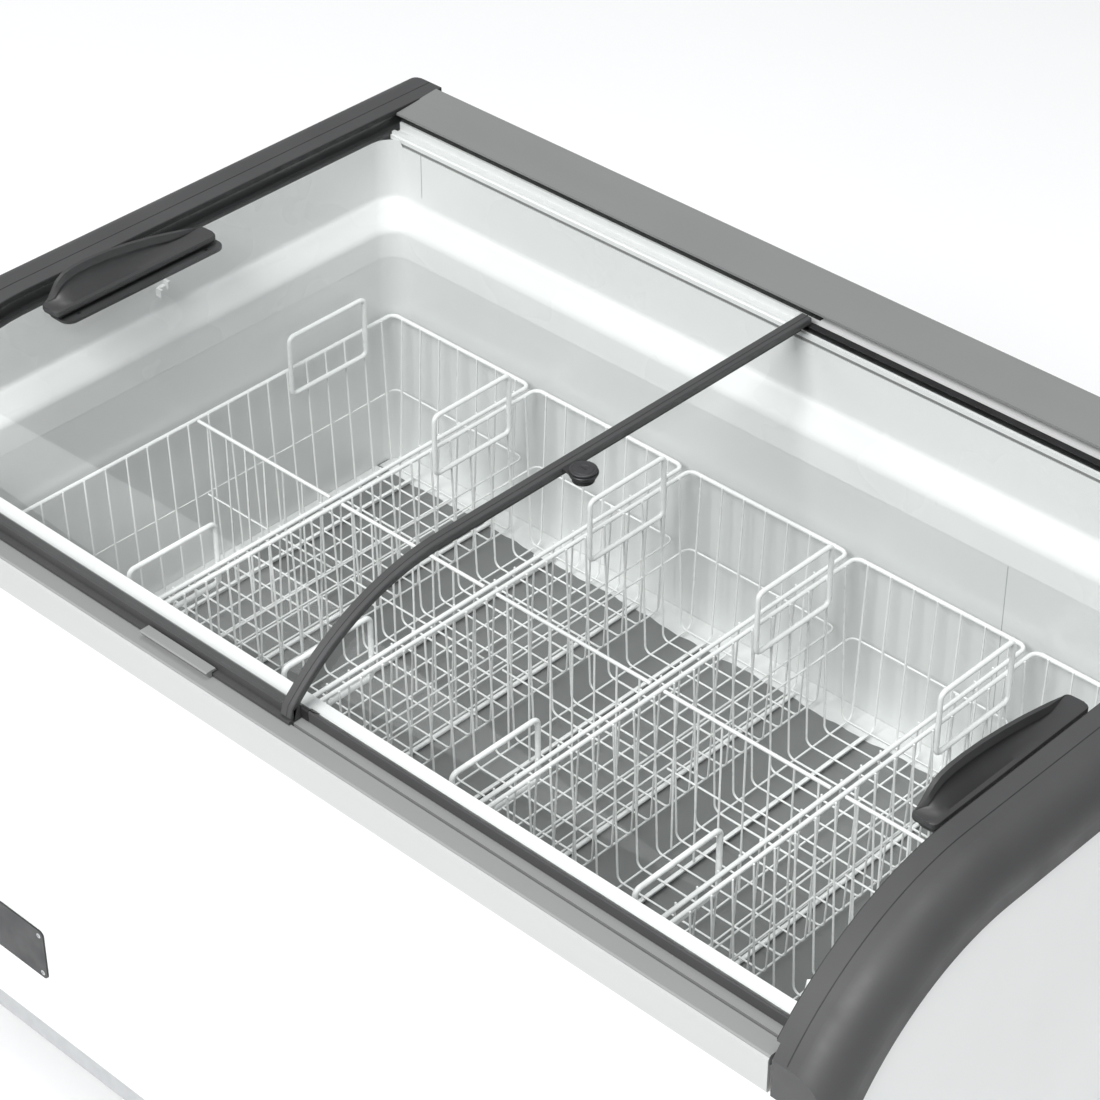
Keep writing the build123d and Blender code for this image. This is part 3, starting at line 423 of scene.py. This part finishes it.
def basket_mesh(cx):
    """One welded wire basket: bent wall wires, rim, mid ring, divider, runners and two handles."""
    bm = bmesh.new()
    side_x = RIM_X - RIM_R - WIRE_R + WELD
    side_y = RIM_Y - RIM_R - WIRE_R + WELD
    foot_x, foot_y = side_x - TAPER, side_y - TAPER
    lower = BASKET_FLOOR - 2 * WIRE_R
    mid = (RIM_Z + BASKET_FLOOR) / 2
    top = RIM_Z + RIM_R * 0.6
    rows = [WIRE_GAP_Y * (n - (LONG_WIRES - 1) / 2) for n in range(LONG_WIRES)]
    columns = [WIRE_GAP_X * (n - (END_WIRES - 1) / 2) for n in range(END_WIRES)]
    for y in rows:
        run = [(cx - side_x, y, top), (cx - foot_x, y, BASKET_FLOOR),
               (cx + foot_x, y, BASKET_FLOOR), (cx + side_x, y, top)]
        tube(bm, rounded(run, WIRE_BEND), WIRE_R, WIRE_SIDES)
    for x in columns:
        run = [(cx + x, -side_y, top), (cx + x, -foot_y, lower),
               (cx + x, foot_y, lower), (cx + x, side_y, top)]
        tube(bm, rounded(run, WIRE_BEND), WIRE_R, WIRE_SIDES)
    rim = [(cx - RIM_X, -RIM_Y, RIM_Z), (cx + RIM_X, -RIM_Y, RIM_Z),
           (cx + RIM_X, RIM_Y, RIM_Z), (cx - RIM_X, RIM_Y, RIM_Z)]
    tube(bm, rounded(rim, RIM_BEND, closed=True), RIM_R, RIM_SIDES, closed=True)
    mid_x = (side_x + foot_x) / 2 + 2 * WIRE_R
    mid_y = (side_y + foot_y) / 2 + 2 * WIRE_R
    ring = [(cx - mid_x, -mid_y, mid), (cx + mid_x, -mid_y, mid),
            (cx + mid_x, mid_y, mid), (cx - mid_x, mid_y, mid)]
    tube(bm, rounded(ring, WIRE_BEND, 5, closed=True), WIRE_R, WIRE_SIDES, closed=True)
    for x in (-RUNNER_X, RUNNER_X):
        z = lower - WIRE_R - RUNNER_R + WELD
        end = foot_y - RUNNER_INSET
        tube(bm, [(cx + x, -end, z), (cx + x, end, z)], RUNNER_R, RUNNER_SIDES)
    # divider across the middle: top bar, a lower wire behind it and upright wires
    reach = side_x - WIRE_R * 0.5
    tube(bm, [(cx - reach, 0, RIM_Z), (cx + reach, 0, RIM_Z)], DIVIDER_R, RUNNER_SIDES)
    inner = reach - 4 * MM
    tube(bm, [(cx - inner, 2 * WIRE_R, mid), (cx + inner, 2 * WIRE_R, mid)], WIRE_R, WIRE_SIDES)
    for x in columns:
        tube(bm, [(cx + x, 0, RIM_Z), (cx + x, 0, BASKET_FLOOR)], WIRE_R, WIRE_SIDES)
    loop_x = side_x - WIRE_R - LOOP_R + 0.15 * MM
    for side, centre in ((-1, LOOP_REAR), (1, LOOP_FRONT)):
        x = cx + side * loop_x
        loop = [(x, centre - LOOP_HALF, LOOP_LOW), (x, centre + LOOP_HALF, LOOP_LOW),
                (x, centre + LOOP_HALF, LOOP_HIGH), (x, centre - LOOP_HALF, LOOP_HIGH)]
        tube(bm, rounded(loop, LOOP_BEND, closed=True), LOOP_R, RIM_SIDES, closed=True)
    return bm


def make_baskets():
    """One wire basket on each basket body."""
    for number in range(1, BASKETS + 1):
        node = f"basket_{number}"
        low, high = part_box(node)
        piece(f"wire_{node}", basket_mesh((low.x + high.x) / 2), node, "basket_wire",
              replaces=[node], smooth=60)


# ---- lids -----------------------------------------------------------------------------------
BAR_DEPTH = 7 * MM
BAR_FRONT = -362 * MM       # the closing bar leaves the lids' curve here
BAR_FOOT = 716.5            # height of the outer edge of its foot, in mm
BAR_FOOT_DROP = 5.0         # how much lower the foot's inner edge is, in mm
INNER_PANE_FRONT = -349.3 * MM
GASKET = 2.0                # the handles' own numbers are in mm, above the glass
FLANGE_TOP = 7.0
FLANGE_CORNER = 5.0
FIN_RISE = 30.0             # from the flange to the fin's peak
STOP_LEFT, STOP_RIGHT = 13.0 * MM, 22.0 * MM


def make_pane(node, body, front=None):
    """Bent glass pane with ground edges, down to its own front edge or the one given."""
    low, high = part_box(node)
    front = low.y if front is None else front
    outer = high.z - BEND_Z
    ease = 0.4 * MM
    section = [(low.x, outer - ease), (low.x + ease, outer), (high.x - ease, outer), (high.x, outer - ease),
               (high.x, outer - GLASS + ease), (high.x - ease, outer - GLASS),
               (low.x + ease, outer - GLASS), (low.x, outer - GLASS + ease)]
    bm = bmesh.new()
    follow_lid(bm, section, lid_stations(high.y, angle_at(outer, front)))
    piece(node + "_pane", bm, body, "lid_glass", replaces=[node])


def make_bar():
    """Closing bar on the outer lid, with a raised line along its middle, down over the foot strip."""
    low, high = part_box("lid_left_bar")
    top = high.z - BEND_Z
    under = top - BAR_DEPTH
    middle = (low.x + high.x) / 2 + 0.8 * MM
    section = [(low.x, under), (low.x, top - 1.0 * MM), (low.x + 1.0 * MM, top - 0.3 * MM),
               (middle - 0.9 * MM, top - 0.3 * MM), (middle - 0.5 * MM, top + 0.25 * MM),
               (middle + 0.5 * MM, top + 0.25 * MM), (middle + 0.9 * MM, top - 0.5 * MM),
               (high.x - 0.8 * MM, top - 0.8 * MM), (high.x, top - 1.8 * MM), (high.x, under)]
    bm = bmesh.new()
    stations = lid_stations(high.y, angle_at(top, BAR_FRONT), 40)
    rings = [[bm.verts.new(lid_point(x, r, s)) for x, r in section] for s in stations]
    # the bar's foot drops straight to the rail in front of the strip
    foot = []
    for (x, r), vert in zip(section, rings[-1]):
        share = (top - r) / (top - under)
        foot.append(bm.verts.new((x, vert.co.y - 2.5 * MM, (BAR_FOOT - BAR_FOOT_DROP * share) * MM)))
    rings.append(foot)
    bridge(bm, rings)
    cap_ends(bm, rings)
    piece("closing_bar", bm, "lid_left", "strip_dark", replaces=["lid_left_bar"], smooth=30)


def handle_height(y):
    """Height of the fin's edge above the glass at y, both in mm."""
    points = ((-180, FLANGE_TOP), (-175, 7.6), (-171, 12.5), (-168, 20.0), (-163, 28.0), (-155, 33.8),
              (-143, 36.4), (-127, 37.0), (-100, 35.3), (-72, 31.2), (-45, 25.8), (-20, 19.6), (0, 14.2),
              (10, 10.8), (16, 8.4), (24, FLANGE_TOP))
    for (y0, z0), (y1, z1) in zip(points, points[1:]):
        if y <= y1:
            t = max(0.0, (y - y0) / (y1 - y0))
            return z0 + (z1 - z0) * t
    return points[-1][1]


def handle_section(y, front, rear, width):
    """Closed (x, z) section of the grip at y, in mm: flange, fin with a rim, hollow right face."""
    edge = min(y - front, rear - y)
    inset = 0.0
    if edge < FLANGE_CORNER:
        # the flange's corners are round in plan
        inset = FLANGE_CORNER * (1 - math.sqrt(max(0.0, 1 - ((FLANGE_CORNER - edge) / FLANGE_CORNER) ** 2)))
    height = max(handle_height(y), FLANGE_TOP)
    rise = (height - FLANGE_TOP) / FIN_RISE
    full = min(1.0, rise * 3)
    lean = 1.0 + 4.0 * rise
    rim = 0.5 + 4.2 * full
    sunk = 2.6 * min(1.0, max(0.0, rise * 3 - 0.35))
    left, right = inset, width - inset
    foot_x = width - 4.5
    band = height - min(7.0, (height - FLANGE_TOP) * 0.5)
    x0, z0 = left + lean + rim + 2.0 * full - sunk, band - 0.9 * full
    section = [(left, GASKET), (left, 5.6), (left + 0.5, 6.6), (left + lean, FLANGE_TOP + 0.3 * rise),
               (left + lean + 0.3, height - 1.0 * full), (left + lean + 0.9, height),
               (left + lean + rim, height - 0.2), (left + lean + rim + 2.0 * full, band), (x0, z0)]
    for t in (0.2, 0.4, 0.6, 0.8, 1.0):
        z = z0 + (FLANGE_TOP + 0.4 - z0) * t
        x = x0 + (foot_x - inset * 0.5 - x0) * (1 - math.cos(t * math.pi / 2)) ** 0.9
        section.append((x, z))
    return section + [(right - 2.2, FLANGE_TOP), (right - 0.6, 6.6), (right, 5.6), (right, GASKET)]


def make_handle(node, body, glass_top):
    """Fin grip with its rim and hollow face, and the gasket between it and the glass."""
    low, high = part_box(node)
    width = (high.x - low.x) / MM
    rear, front = high.y / MM, low.y / MM
    stations = [front, front + 0.6, front + 1.8, front + 4]
    stations += [front + 4 + (rear - front - 8) * n / 56 for n in range(1, 56)]
    stations += [rear - 4, rear - 1.8, rear - 0.6, rear]
    sections = []
    for y in stations:
        section = handle_section(y, front, rear, width)
        sections.append([(low.x + x * MM, y * MM, glass_top + z * MM) for x, z in section])
    bm = bmesh.new()
    loft(bm, sections)
    piece(node + "_grip", bm, body, "handle_dark", replaces=[node], smooth=32)
    pad = bmesh.new()
    inset = 0.9 * MM
    points = outline((high.x - low.x) / 2 - inset, (high.y - low.y) / 2 - inset, 4 * MM)
    middle = (low + high) / 2
    loft(pad, [[(middle.x + x, middle.y + y, glass_top + z) for x, y in points]
               for z in (0.05 * MM, GASKET * MM)])
    piece(node + "_gasket", pad, body, "handle_dark", finish="seal_black")


def make_low_strip():
    """Low foot strip of the inner lid, its tongue in the rail, and the rubber stop on its left end."""
    low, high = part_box("lid_right_foot")
    bm = bmesh.new()
    profile = [(-351.0, 710.4), (-351.0, 720.6), (-350.4, 721.6), (-349.5, 721.6), (-349.5, 718.2),
               (-346.0, 717.4), (-341.5, 713.4), (-338.8, 711.4), (-338.5, 710.9), (-338.5, 710.4)]
    loft(bm, [[(x, y * MM, z * MM) for y, z in profile] for x in (low.x, high.x)])
    box(bm, (low.x, -346.7 * MM, 706.6 * MM), (high.x, -344.9 * MM, 710.4 * MM))
    piece("low_foot_strip", bm, "lid_right", "strip_dark", replaces=["lid_right_foot"], smooth=30)
    bm = bmesh.new()
    profile = [(-351.6, 711.0), (-351.6, 720.9), (-350.6, 722.2), (-348.8, 722.2), (-345.6, 718.2),
               (-341.1, 714.2), (-338.2, 712.0), (-338.0, 711.0)]
    ease = 0.6 * MM
    loft(bm, [[(x, y * MM, z * MM) for y, z in profile]
              for x in (STOP_LEFT, STOP_LEFT + ease, STOP_RIGHT - ease, STOP_RIGHT)])
    piece("strip_stop", bm, "lid_right", "strip_dark", finish="seal_black", smooth=30)


# ---- collar and tank ------------------------------------------------------------------------
STEP_LOW, STEP_HIGH = 693 * MM, 720 * MM
LEDGE_X, LEDGE_REAR, LEDGE_FRONT = 561.5 * MM, 315 * MM, -323.5 * MM
RAIL_EDGE = -338.9 * MM     # the collar's front lip ends here, at the front rail
FRONT_STEP = 668 * MM       # the front ledge is steeper and starts lower
LEVEL_FRONT = -322 * MM     # in front of this line the collar is level with the front rail
NOSING = 5 * MM             # the mouth's edge is rounded over this height
NOSE_SHARE, SLOPE_SHARE = 0.14, 0.84    # on the way from mouth to wall: nosing, slope, then fillet
COLLAR_UNDER = TANK_HIGH.z + 0.2 * MM
TRACK_FLOOR, RIB_TOP, OUTER_TRACK = 787.5 * MM, 790.8 * MM, 796.5 * MM
CAP_SEAM_X = 579 * MM
COLLAR_SEAM_X = 516 * MM
TANK_SEAM_X = 279.5 * MM
CAP_REAR, CAP_FRONT = 391 * MM, -383 * MM
# black strips along the end caps: one under the inner pane's ends, one at each cap's inner lip
SIDE_STRIP_X, SIDE_STRIP_REAR, SIDE_STRIP_FRONT = 564.3 * MM, 314 * MM, -338 * MM
LIP_STRIP_X, LIP_STRIP_FRONT = 561 * MM, -374 * MM
FLANGE = 34 * MM            # bottom flange along the tank's long walls
END_BEAD = 12 * MM
WALL_GAP = 0.4 * MM


def collar_top(y):
    """Height of the collar's upper edge at y."""
    radius = INNER_TOP - GLASS - 5.3 * MM - BEND_Z
    rail_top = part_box("front_rail")[1].z
    if y > LEDGE_REAR - 1 * MM:
        return COLLAR_HIGH.z - 8.5 * MM
    if y > BEND_Y:
        return BEND_Z + radius
    if y < LEVEL_FRONT:
        return rail_top
    return max(rail_top, BEND_Z + math.sqrt(radius ** 2 - (BEND_Y - y) ** 2))


def step_heights(y):
    """Where the ledge starts and ends at y; it drops towards the front wall."""
    share = min(1.0, max(0.0, (-TANK_Y + TANK_CORNER - y) / TANK_CORNER))
    share = share * share * (3 - 2 * share)
    return STEP_LOW + (FRONT_STEP - STEP_LOW) * share, STEP_HIGH - 10 * MM * share


def make_collar():
    """Moulded collar: mouth, rounded nosing, sloped ledge, upright walls and outer flange."""
    bm = bmesh.new()
    centre, half = (LEDGE_REAR + LEDGE_FRONT) / 2, (LEDGE_REAR - LEDGE_FRONT) / 2
    mouth = outline(TANK_X - 0.15 * MM, TANK_Y - 0.15 * MM, TANK_CORNER, 12, runs=40)
    wide = outline(LEDGE_X, half, TANK_CORNER, 12, centre, runs=40)
    rear, wall = COLLAR_HIGH.y, COLLAR_HIGH.x
    outer = outline(wall, (rear - RAIL_EDGE) / 2, 4 * MM, 12, (rear + RAIL_EDGE) / 2, runs=40)
    fillet, lift = 1 - SLOPE_SHARE, 3 * MM
    rings = []

    def ring(share, rise, drop=0.0, floor=None):
        made = []
        for a, b in zip(mouth, wide):
            x, y = a[0] + (b[0] - a[0]) * share, a[1] + (b[1] - a[1]) * share
            low, high = step_heights(a[1])
            z = low + (high - low) * rise - drop if floor is None else floor
            made.append(bm.verts.new((x, y, min(z, collar_top(y)))))
        rings.append(made)

    ring(0, 0, floor=COLLAR_UNDER)
    ring(0, 0, drop=NOSING)
    for k in range(1, 8):
        a = k / 7
        ring(NOSE_SHARE * a * a, NOSE_SHARE * a, drop=NOSING * (1 - a))
    for share in (0.3, 0.5, 0.7, SLOPE_SHARE):
        ring(share, share)
    for k in range(1, 7):
        a = k / 6
        ring(SLOPE_SHARE + fillet * (1 - (1 - a) ** 2), SLOPE_SHARE + fillet * a, drop=-lift * a * a)
    for k in (0.25, 0.5, 0.75, 1.0):
        made = []
        for x, y in wide:
            top = collar_top(y)
            start = min(STEP_HIGH + lift, top)
            made.append(bm.verts.new((x, y, start + (top - start) * k)))
        rings.append(made)
    rings.append([bm.verts.new((x, y, collar_top(y))) for x, y in outer])
    rings.append([bm.verts.new((x, y, COLLAR_UNDER)) for x, y in outer])
    bridge(bm, rings + [rings[0]])
    piece("moulded_collar", bm, "cabinet", "collar_plastic", replaces=["collar"], smooth=42)


def make_tracks():
    """White liners on the rear rail's two tracks and on the step between them."""
    bm = bmesh.new()
    thin = 0.12 * MM
    x = LEDGE_X - 0.5 * MM
    low, rear = 783 * MM, 345.5 * MM
    rib_front, rib_rear, step = 317 * MM, 321 * MM, 329 * MM
    floor, rib, outer = TRACK_FLOOR, RIB_TOP, OUTER_TRACK
    run = [(314.75 * MM, low), (314.75 * MM, floor + thin), (rib_front - thin, floor + thin),
           (rib_front - thin, rib + thin), (rib_rear + thin, rib + thin), (rib_rear + thin, floor + thin),
           (step - thin, floor + thin), (step - thin, outer + thin), (rear, outer + thin)]
    sunk = 0.2 * MM
    back = [(315.0 * MM, low), (315.0 * MM, floor - thin), (rib_front + sunk, floor - thin),
            (rib_front + sunk, rib - thin), (rib_rear - sunk, rib - thin), (rib_rear - sunk, floor - thin),
            (step + sunk, floor - thin), (step + sunk, outer - thin), (rear, outer - thin)]
    section = run + back[::-1]
    ends = [[bm.verts.new((side * x, y, z)) for y, z in section] for side in (-1, 1)]
    count = len(run)
    bridge(bm, ends)
    for end in ends:
        for n in range(count - 1):
            bm.faces.new((end[n], end[n + 1], end[2 * count - 2 - n], end[2 * count - 1 - n]))
    piece("track_liner", bm, "cabinet", "collar_plastic", smooth=20)


def make_seams():
    """Joint lines in the collar and the tank's rear wall, and seams and black strips along the end caps."""
    half = 0.4 * MM
    bm = bmesh.new()
    for x in (-COLLAR_SEAM_X, COLLAR_SEAM_X):
        box(bm, (x - half, LEDGE_REAR - 0.15 * MM, STEP_HIGH + 8 * MM),
            (x + half, LEDGE_REAR + 0.3 * MM, 786 * MM))
    piece("collar_seams", bm, "cabinet", "collar_plastic", finish="seam_grey")
    bm = bmesh.new()
    box(bm, (TANK_SEAM_X - half, TANK_Y - 0.2 * MM, 400.5 * MM),
        (TANK_SEAM_X + half, TANK_Y + 0.3 * MM, 659 * MM))
    piece("tank_seam", bm, "cabinet", "tank_metal", finish="seam_grey")
    under_pane = INNER_TOP - GLASS - BEND_Z
    for side, name in ((-1, "left"), (1, "right")):
        x = side * CAP_SEAM_X
        low, high = CAP_R - 0.5 * MM, CAP_R + 0.12 * MM
        section = [(x - 0.5 * MM, low), (x - 0.5 * MM, high), (x + 0.5 * MM, high), (x + 0.5 * MM, low)]
        bm = bmesh.new()
        follow_lid(bm, section, lid_stations(CAP_REAR, angle_at(CAP_R, CAP_FRONT), 40))
        piece(f"cap_seam_{name}", bm, "cabinet", "cap_dark", finish="seal_black")
        # black strip under the inner pane's end, along the cap's recess
        x = side * SIDE_STRIP_X
        low, high = under_pane - 5.8 * MM, under_pane - 1.2 * MM
        section = [(x - 2.6 * MM, low), (x - 2.2 * MM, high), (x + 2.2 * MM, high), (x + 2.6 * MM, low)]
        bm = bmesh.new()
        follow_lid(bm, section, lid_stations(SIDE_STRIP_REAR, angle_at(high, SIDE_STRIP_FRONT), 40))
        piece(f"side_black_strip_{name}", bm, "cabinet", "cap_dark", finish="seal_black")
        # black strip along the cap's inner lip
        x = side * LIP_STRIP_X
        low, high = CAP_R - 5 * MM, CAP_R - 0.6 * MM
        section = [(x - 0.5 * MM, low), (x - 0.5 * MM, high), (x + 0.6 * MM, high), (x + 0.6 * MM, low)]
        bm = bmesh.new()
        follow_lid(bm, section, lid_stations(CAP_REAR, angle_at(high, LIP_STRIP_FRONT), 40))
        piece(f"cap_lip_black_strip_{name}", bm, "cabinet", "cap_dark", finish="seal_black")


def bead_along_x(z0, side, x):
    """Section of the flange in front of or behind the baskets at x, with its uneven edge."""
    wave = 1.3 * math.sin(x * 31 + side) + 0.8 * math.sin(x * 97 + 2 * side) + 0.6 * math.sin(x * 223)
    corner = max(0.0, (abs(x) - (TANK_X - TANK_CORNER)) / TANK_CORNER)
    outer = TANK_Y - WALL_GAP - TANK_CORNER * (1 - math.sqrt(max(0.0, 1 - corner ** 2)))
    inner = TANK_Y - FLANGE + wave * MM
    return [(x, side * y, z0 + rise * MM) for y, rise in
            ((outer, 0.02), (outer, 0.38), (inner + 1.5 * MM, 0.38), (inner, 0.25), (inner, 0.02))]


def bead_along_y(z0, side, y):
    """Section of the narrow bead along an end wall at y, with its uneven edge."""
    wave = 1.6 * math.sin(y * 73 + side) + 0.9 * math.sin(y * 181)
    outer, inner = TANK_X - WALL_GAP, TANK_X - END_BEAD + wave * MM
    return [(side * x, y, z0 + rise * MM) for x, rise in
            ((outer, 0.02), (outer, 0.36), (inner, 0.30), (inner, 0.02))]


def make_floor_flange():
    """Bottom flange with an uneven bead of sealant along its edge, on the tank's floor."""
    bm = bmesh.new()
    z0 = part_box("tank_floor")[1].z
    rows = 300
    for section, reach in ((bead_along_x, TANK_X - 2 * MM), (bead_along_y, TANK_Y - FLANGE - 3 * MM)):
        for side in (-1, 1):
            loft(bm, [section(z0, side, -reach + 2 * reach * n / rows) for n in range(rows + 1)])
    piece("floor_bead", bm, "cabinet", "flange_white", replaces=["floor_flange"], smooth=50)


# ---- lock -----------------------------------------------------------------------------------
def make_lock():
    """Key lock: ribbed barrel below its bracket, flange above it, and a slotted disc that turns."""
    low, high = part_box("lock_core")
    centre = ((low.x + high.x) / 2, (low.y + high.y) / 2)
    body_low, body_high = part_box("lock_body")
    bracket_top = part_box("lock_bracket")[1].z
    top = high.z
    bm = bmesh.new()
    ribs = 6
    rib = (bracket_top - body_low.z - 1 * MM) / ribs
    profile = [(9.2 * MM, body_low.z), (10.3 * MM, body_low.z + 0.5 * MM)]
    for n in range(ribs):
        z = body_low.z + 1 * MM + rib * n
        profile += [(10.6 * MM, z + rib * 0.15), (10.6 * MM, z + rib * 0.55), (10.0 * MM, z + rib * 0.7),
                    (10.0 * MM, z + rib * 0.95)]
    profile += [(13.6 * MM, bracket_top + 0.1 * MM), (14.0 * MM, bracket_top + 0.7 * MM),
                (14.0 * MM, body_high.z - 0.7 * MM), (13.5 * MM, body_high.z)]
    turned(bm, centre, profile, 56)
    piece("lock_barrel", bm, "lid_left", "lock_black", replaces=["lock_body"], smooth=35)
    bm = bmesh.new()
    bottom = body_high.z + 0.15 * MM
    profile = [(11.9 * MM, bottom), (12.7 * MM, bottom + 0.3 * MM), (13.0 * MM, bottom + 0.9 * MM),
               (12.9 * MM, top - 1.1 * MM), (12.0 * MM, top - 0.35 * MM), (11.2 * MM, top - 0.2 * MM),
               (10.4 * MM, top - 0.55 * MM), (9.9 * MM, top - 0.55 * MM), (9.4 * MM, top - 0.15 * MM),
               (4.8 * MM, top), (4.4 * MM, top - 0.3 * MM)]
    turned(bm, centre, profile, 56)
    piece("lock_disc", bm, "lock_core", "lock_steel", replaces=["lock_core"], smooth=35)
    bm = bmesh.new()
    x, y = centre
    box(bm, (x - 3.4 * MM, y - 0.8 * MM, top - 0.9 * MM), (x + 3.4 * MM, y + 0.8 * MM, top - 0.12 * MM))
    piece("key_slot", bm, "lock_core", "lock_steel", finish="seal_black")


# ---- controls and rear fittings -------------------------------------------------------------
def make_dial():
    """Printed ticks round the thermostat knob, and a pointer on it."""
    low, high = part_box("thermostat_knob")
    panel_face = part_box("control_panel")[0].y
    x, z = (low.x + high.x) / 2, (low.z + high.z) / 2
    bm = bmesh.new()
    ticks = 11
    for n in range(ticks):
        a = math.radians(-225 + 270 * n / (ticks - 1))
        r0, r1 = 18.0 * MM, (22.0 if n % 5 == 0 else 20.5) * MM
        along = Vector((math.cos(a), 0, -math.sin(a)))
        across = Vector((math.sin(a), 0, math.cos(a))) * 0.5 * MM
        centre = Vector((x, 0, z))
        corners = [centre + along * r0 - across, centre + along * r1 - across,
                   centre + along * r1 + across, centre + along * r0 + across]
        loft(bm, [[(c.x, y, c.z) for c in corners]
                  for y in (panel_face - 0.12 * MM, panel_face + 0.2 * MM)])
    piece("dial_ticks", bm, "cabinet", "black_plastic", finish="flange_white")
    bm = bmesh.new()
    box(bm, (x - 0.6 * MM, low.y - 0.12 * MM, z + 6 * MM), (x + 0.6 * MM, low.y + 0.3 * MM, z + 13.5 * MM))
    piece("knob_pointer", bm, "knob", "black_plastic", finish="flange_white")


def make_panel_screws():
    """Cross-head screws at the corners of the control panel and the two grilles."""
    spots = []
    for node, inset in (("control_panel", 6.5), ("front_grille", 9.0), ("rear_grille", 9.0)):
        low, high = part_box(node)
        outward = -1 if low.y < 0 else 1
        face = low.y if outward < 0 else high.y
        for x in (low.x + inset * MM, high.x - inset * MM):
            for z in (low.z + inset * MM, high.z - inset * MM):
                spots.append((x, face, z, outward))
    bm = bmesh.new()
    cross = bmesh.new()
    sides = 20
    reach, half = 1.5 * MM, 0.28 * MM
    for x, face, z, outward in spots:
        rings = []
        for radius, rise in ((3.0, -0.3), (3.0, 0.05), (2.6, 0.3), (1.5, 0.48)):
            rings.append([(x + radius * MM * math.cos(2 * math.pi * k / sides), face + outward * rise * MM,
                           z + radius * MM * math.sin(2 * math.pi * k / sides)) for k in range(sides)])
        loft(bm, rings)
        y0, y1 = sorted((face + outward * 0.2 * MM, face + outward * 0.5 * MM))
        box(cross, (x - reach, y0, z - half), (x + reach, y1, z + half))
        box(cross, (x - half, y0, z - reach), (x + half, y1, z + reach))
    piece("panel_screws", bm, "cabinet", "screw_steel", finish="castor_steel")
    piece("screw_crosses", cross, "cabinet", "screw_steel", finish="seal_black")


# ---- stage, light, camera -------------------------------------------------------------------
def make_stage():
    """Plain pale floor."""
    bm = bmesh.new()
    reach = 14.0
    corners = ((-reach, -reach, 0), (reach, -reach, 0), (reach, reach, 0), (-reach, reach, 0))
    bm.faces.new([bm.verts.new(p) for p in corners])
    mesh = bpy.data.meshes.new("studio_floor")
    bm.to_mesh(mesh)
    bm.free()
    mesh.materials.append(MATERIALS["floor"])
    floor = bpy.data.objects.new("studio_floor", mesh)
    bpy.context.scene.collection.objects.link(floor)


def make_light(name, place, size, power):
    """Soft rectangular lamp that points at the freezer's middle."""
    middle = Vector((0, 0, 0.5))
    lamp = bpy.data.lights.new(name, "AREA")
    lamp.shape = "RECTANGLE"
    lamp.size, lamp.size_y = size
    lamp.energy = power
    holder = bpy.data.objects.new(name, lamp)
    holder.location = place
    holder.rotation_mode = "QUATERNION"
    holder.rotation_quaternion = (middle - Vector(place)).to_track_quat("-Z", "Y")
    bpy.context.scene.collection.objects.link(holder)


def make_lights():
    """Main light from the front and above, a weak one from the left, one from the top, and a pale sky."""
    make_light("key", place=(1.0, -5.4, 6.2), size=(4.0, 3.0), power=600)
    make_light("left_key", place=(-5.0, -3.0, 6.0), size=(3.0, 3.0), power=60)
    make_light("top", place=(0.0, 0.6, 7.5), size=(4.0, 3.0), power=150)
    world = bpy.data.worlds.new("studio")
    world.use_nodes = True
    background = world.node_tree.nodes["Background"]
    background.inputs["Color"].default_value = (0.96, 0.98, 1.0, 1)
    background.inputs["Strength"].default_value = 0.40
    bpy.context.scene.world = world
    bpy.context.scene.view_settings.view_transform = "Standard"


def make_camera():
    """Camera in front, to the right and above, aimed down at the lids."""
    data = bpy.data.cameras.new("camera")
    data.lens = 104.46
    data.sensor_width = 36
    data.clip_end = 60
    camera = bpy.data.objects.new("camera", data)
    gaze = Vector((-0.55551, 0.58436, -0.59155))
    camera.location = (1.6159, -1.7304, 2.4305)
    camera.rotation_mode = "QUATERNION"
    camera.rotation_quaternion = gaze.to_track_quat("-Z", "Y")
    bpy.context.scene.collection.objects.link(camera)
    bpy.context.scene.camera = camera


paint_cad()
make_baskets()
make_pane("lid_left_glass", "lid_left")
make_pane("lid_right_glass", "lid_right", front=INNER_PANE_FRONT)
make_bar()
make_handle("lid_left_handle", "lid_left", LID_TOP)
make_handle("lid_right_handle", "lid_right", INNER_TOP)
make_low_strip()
make_collar()
make_tracks()
make_seams()
make_floor_flange()
make_lock()
make_dial()
make_panel_screws()
make_stage()
make_lights()
make_camera()
